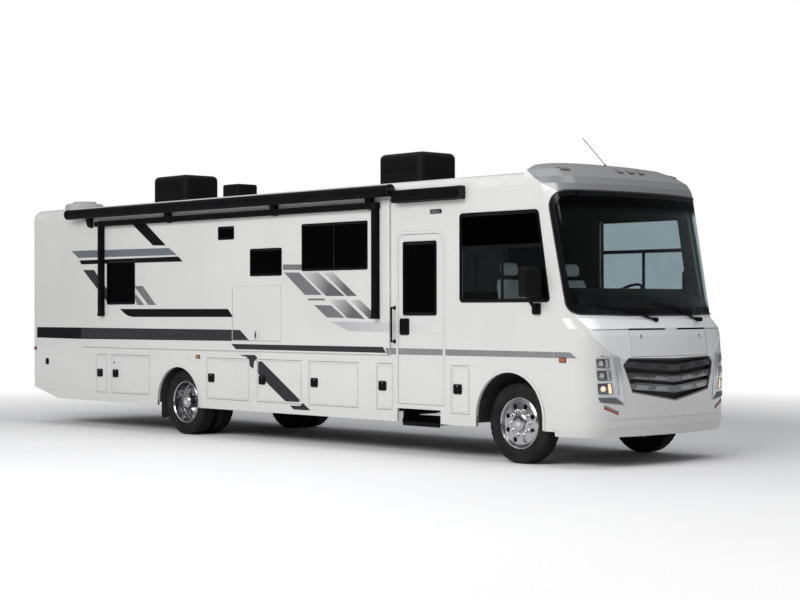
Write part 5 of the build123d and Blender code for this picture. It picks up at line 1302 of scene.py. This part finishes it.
for side, sign in SIDES.items():
    form = tyre(Form(), sign * WHEEL_MID_Y, FRONT_AXLE_X)
    obj = piece(f"road_tyre_front_{side}", form, "tyre", f"wheel_front_{side}", crease=38.0)
    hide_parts(f"tyre_front_{side}")
    form = tyre(Form(), sign * WHEEL_MID_Y, REAR_AXLE_X)
    tyre(form, sign * (WHEEL_MID_Y - DUAL_PITCH), REAR_AXLE_X, 120)
    obj = piece(f"road_tyres_rear_{side}", form, "tyre", f"wheels_rear_{side}", crease=38.0)
    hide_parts(f"tyres_rear_{side}")

# ---------------------------------------------------------------- wheel nuts, hub caps and valves
STUDS = 10
HUB_BOLTS = 8
NUT = [(0.0, 0.0), (0.0235, 0.0), (0.0235, 0.003), (0.0195, 0.005), (0.0185, 0.022), (0.015, 0.031),
       (0.008, 0.0345), (0.0, 0.0345)]
BOLT = [(0.0, 0.0), (0.0065, 0.0), (0.0065, 0.004), (0.0, 0.0045)]
# x and z from the wheel's centre and y from the valve's foot
VALVE = [(0.235, 0.0, 0.04), (0.240, 0.03, 0.042), (0.243, 0.05, 0.043)]


def wheel_trim(name, sign, x, nut_y, hub_y, hub_r):
    """Nut covers, hub cap and valve of a wheel, from its centre, nut seat, hub's end and hub radius."""

    def round_spots(count, radius, y, first=0.0):
        turns = [2 * math.pi * (k + first) / count for k in range(count)]
        return [(x + radius * math.cos(t), sign * y, AXLE_Z + radius * math.sin(t)) for t in turns]

    form = Form()
    for spot in round_spots(STUDS, STUD_R, nut_y):
        form.spin(NUT, spot, (0, sign, 0), 18)
    piece(f"nut_covers_{name}", form, "chrome", name, crease=45.0)
    cap = [(0.0, 0.004), (0.030, 0.0035), (hub_r * 0.62, 0.0015), (hub_r * 0.66, -0.001), (hub_r * 0.72, 0.0),
           (hub_r * 0.80, -0.003), (hub_r * 0.80, -0.010), (0.0, -0.010)]
    form = Form().spin(cap, (x, sign * (hub_y - 0.003), AXLE_Z), (0, sign, 0), 48)
    for spot in round_spots(HUB_BOLTS, hub_r * 0.70, hub_y - 0.006, 0.5):
        form.spin(BOLT, spot, (0, sign, 0), 6)
    piece(f"hub_cap_{name}", form, "chrome", name, crease=40.0)
    path = [(x + px, sign * (WHEEL_MID_Y + 0.045 + py), AXLE_Z + pz) for px, py, pz in VALVE]
    piece(f"valve_{name}", Form().tube(path, 0.0045, 10), "chrome", name)


for side, sign in SIDES.items():
    wheel_trim(f"wheel_front_{side}", sign, FRONT_AXLE_X, WHEEL_MID_Y + 0.084, WHEEL_MID_Y + 0.117, 0.084)
    wheel_trim(f"wheels_rear_{side}", sign, REAR_AXLE_X, WHEEL_MID_Y - DUAL_PITCH / 2 + 0.014, 1.188, 0.086)

# ---------------------------------------------------------------- cab
FLOOR_TOP = 1.19
SEAT_X = st(-0.45)
SEAT_Y = 0.56
SEAT_TOP = FLOOR_TOP + 0.26
CUSHION_PRESSURE = 4.0
CUSHION_FRAMES = 20
# cushions as name: half length, half width, layers of (height, size share), x and z from the seat's top,
# lean back per height, and how far the cloth may move
CUSHIONS = {
    "seat_base": (0.245, 0.235, [(0.012, 0.86), (0.03, 0.96), (0.075, 1.0), (0.115, 0.97), (0.145, 0.86)],
                  0.005, 0.0, 0.0, 0.014),
    "seat_back": (0.046, 0.225, [(0.02, 0.86), (0.06, 0.96), (0.2, 1.0), (0.42, 1.0), (0.5, 0.86)],
                  -0.19, 0.175, 0.16, 0.012),
    "seat_head": (0.040, 0.13, [(0.0, 0.8), (0.03, 1.0), (0.11, 1.0), (0.15, 0.8)],
                  -0.283, 0.715, 0.1, 0.010),
}


def baked(obj):
    """Mesh of an object with its modifiers applied, which are then taken off."""
    graph = bpy.context.evaluated_depsgraph_get()
    mesh = bpy.data.meshes.new_from_object(obj.evaluated_get(graph))
    obj.modifiers.clear()
    return mesh


def cushion(name, loops, cap):
    """Padded piece from stacked loops, blown up by cloth simulation and held within cap of its start."""
    scene = bpy.context.scene
    obj = piece(name, Form().loft(loops), "leather")
    remesh = obj.modifiers.new("voxels", "REMESH")
    remesh.mode = "VOXEL"
    remesh.voxel_size = 0.014
    old, mesh = obj.data, baked(obj)
    obj.data = mesh
    bpy.data.meshes.remove(old)
    start = [v.co.copy() for v in mesh.vertices]
    cloth = obj.modifiers.new("cloth", "CLOTH")
    cloth.settings.use_pressure = True
    cloth.settings.uniform_pressure_force = CUSHION_PRESSURE
    cloth.settings.effector_weights.gravity = 0.0
    cloth.settings.quality = 4
    for number in range(1, CUSHION_FRAMES + 1):
        scene.frame_set(number)
    blown = baked(obj)
    scene.frame_set(1)
    for vert, place, rest in zip(mesh.vertices, blown.vertices, start):
        move = place.co - rest
        vert.co = rest + move * min(1.0, cap / max(move.length, 1e-6))
    bpy.data.meshes.remove(blown)
    smooth = obj.modifiers.new("round", "SUBSURF")
    smooth.levels = smooth.render_levels = 1
    obj.data.shade_smooth()
    return obj


for side, sign in SIDES.items():
    y = sign * SEAT_Y
    for name, (half_x, half_y, layers, ahead, up, lean, cap) in CUSHIONS.items():
        slab = soften(outline(-half_x, half_x, -half_y, half_y), min(half_x, half_y) * 0.55)
        loops = []
        for height, share in layers:
            x, z = SEAT_X + ahead - lean * height, SEAT_TOP + up + height
            loops.append([(x + u * share, y + v * share, z) for u, v in slab])
        obj = cushion(f"{name}_{side}", loops, cap)
        if name == "seat_base":
            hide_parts("cab_seats")
    form = Form()
    shape = outline(-0.17, 0.16, -0.022, 0.022, 0.018)
    layers = ((-0.024, grow(shape, -0.006)), (-0.018, shape), (0.018, shape), (0.024, grow(shape, -0.006)))
    for arm in (-1, 1):
        form.loft([[(SEAT_X + u - 0.03, y + arm * (0.235 + out), SEAT_TOP + 0.33 + v) for u, v in points]
                   for out, points in layers])
        post = outline(SEAT_X - 0.15, SEAT_X - 0.11, SEAT_TOP + 0.10, SEAT_TOP + 0.33, 0.01)
        form.prism(post, y + arm * 0.228, y + arm * 0.244, xz)
    for rod_y in (y - 0.05, y + 0.05):
        rod = [(SEAT_X - 0.275, rod_y, SEAT_TOP + 0.62), (SEAT_X - 0.285, rod_y, SEAT_TOP + 0.75)]
        form.tube(rod, 0.006, 8)
    piece(f"seat_arms_{side}", form, "dash", bevel=0.002)

# dash hood on the desk, as wide as the cab and clear of the glass
DASH_HALF = 1.12
DASH_CLEAR = 0.09
DASH_STEPS = 24
DASH_PROFILE = [(0.40, 1.63), (0.405, 1.90), (0.44, 1.965), (0.54, 2.0), (0.66, 1.995), (0.92, 1.91),
                (1.0, 1.63)]
loops = []
for k in range(DASH_STEPS + 1):
    y = DASH_HALF * (2 * k / DASH_STEPS - 1)
    loops.append([(min(st(x), nose_x(y, z) - DASH_CLEAR), y, z) for x, z in DASH_PROFILE])
piece("dash_hood", Form().loft(loops), "dash", bevel=0.006)

# ---------------------------------------------------------------- stage and world
STAGE_HALF = 60
FLOOR_MELT = (7.0, 15.0)
PURE_WHITE = (1.0, 1.0, 1.0)


def floor_material():
    """Pale floor whose colour melts into the white background away from the object."""
    paint = Paint("studio_floor")
    tone = paint.ramp(paint.noise(0.3), (0.90, 0.90, 0.90), (0.93, 0.93, 0.93))
    mat = paint.set(colour=tone, rough=0.9, spec=0.1)
    length = paint.node("VectorMath", {0: paint.place}, operation="LENGTH").outputs["Value"]
    white = paint.node("Emission", {"Color": PURE_WHITE}).outputs["Emission"]
    away = paint.span(length, 0.0, 1.0, *FLOOR_MELT)
    melt = paint.node("MixShader", {"Fac": away, 1: paint.body.outputs["BSDF"], 2: white})
    paint.put(paint.tree.nodes["Material Output"].inputs["Surface"], melt.outputs["Shader"])
    return mat


floor_mesh = bpy.data.meshes.new("studio_floor")
corners = [(x, y, 0) for x, y in outline(-STAGE_HALF, STAGE_HALF, -STAGE_HALF, STAGE_HALF)]
floor_mesh.from_pydata(corners, [], [(0, 1, 2, 3)])
floor_mesh.materials.append(floor_material())
studio_floor = bpy.data.objects.new("studio_floor", floor_mesh)
bpy.context.scene.collection.objects.link(studio_floor)

# the background is white, the light on the object is even, and reflections meet a room that is dark at eye
# level and bright overhead
EVEN_LIGHT = (0.33, 0.335, 0.345)
ROOM_LOW = (0.03, 0.031, 0.034)
ROOM_HIGH = (0.80, 0.81, 0.83)
world = bpy.data.worlds.new("studio")
bpy.context.scene.world = world
world.use_nodes = True
sky = Tree(world.node_tree)
rays = sky.node("LightPath", {}).outputs
way = sky.node("SeparateXYZ", {"Vector": sky.node("TexCoord", {}).outputs["Generated"]}).outputs
mirrored_room = sky.mix(sky.span(way["Z"], 0.0, 1.0, 0.05, 0.85), ROOM_LOW, ROOM_HIGH)
lit = sky.mix(rays["Is Glossy Ray"], EVEN_LIGHT, mirrored_room)
seen = sky.maths("MAXIMUM", rays["Is Camera Ray"], rays["Is Transmission Ray"])
sky.put(sky.tree.nodes["Background"].inputs["Color"], sky.mix(seen, lit, PURE_WHITE))


# ---------------------------------------------------------------- lights and camera
def area_light(name, place, target, size, power):
    data = bpy.data.lights.new(name, "AREA")
    data.shape = "RECTANGLE"
    data.size, data.size_y = size
    data.energy = power
    obj = bpy.data.objects.new(name, data)
    bpy.context.scene.collection.objects.link(obj)
    obj.location = place
    obj.rotation_mode = "QUATERNION"
    obj.rotation_quaternion = (Vector(target) - Vector(place)).to_track_quat("-Z", "Y")


area_light("key", (4.0, -15.0, 9.0), (0.0, 0.0, 1.5), (16.0, 6.0), 2050.0)
area_light("top", (0.0, 0.0, 13.0), (0.0, 0.0, 0.0), (18.0, 8.0), 390.0)
area_light("front", (12.0, 0.0, 13.0), (5.0, 0.0, 1.6), (7.0, 5.0), 170.0)

CAMERA_PLACE = (17.775, -15.527, 1.764)
YAW, PITCH, ROLL = math.radians(136.9323), math.radians(0.2809), math.radians(-0.1061)
camera_data = bpy.data.cameras.new("camera")
camera_data.lens = 76.86
camera_data.sensor_width = 36.0
camera_data.shift_x = 0.00743
camera_data.shift_y = 0.00093
camera_data.clip_start = 0.1
camera_data.clip_end = 400.0
camera = bpy.data.objects.new("camera", camera_data)
ahead = Vector((math.cos(YAW) * math.cos(PITCH), math.sin(YAW) * math.cos(PITCH), math.sin(PITCH)))
right = Vector((math.sin(YAW), -math.cos(YAW), 0.0))
above = right.cross(ahead)
across = right * math.cos(ROLL) + above * math.sin(ROLL)
upwards = above * math.cos(ROLL) - right * math.sin(ROLL)
turn = Matrix((across, upwards, -ahead)).transposed()
camera.matrix_world = Matrix.Translation(CAMERA_PLACE) @ turn.to_4x4()
scene = bpy.context.scene
scene.collection.objects.link(camera)
scene.camera = camera
scene.view_settings.view_transform = "Standard"
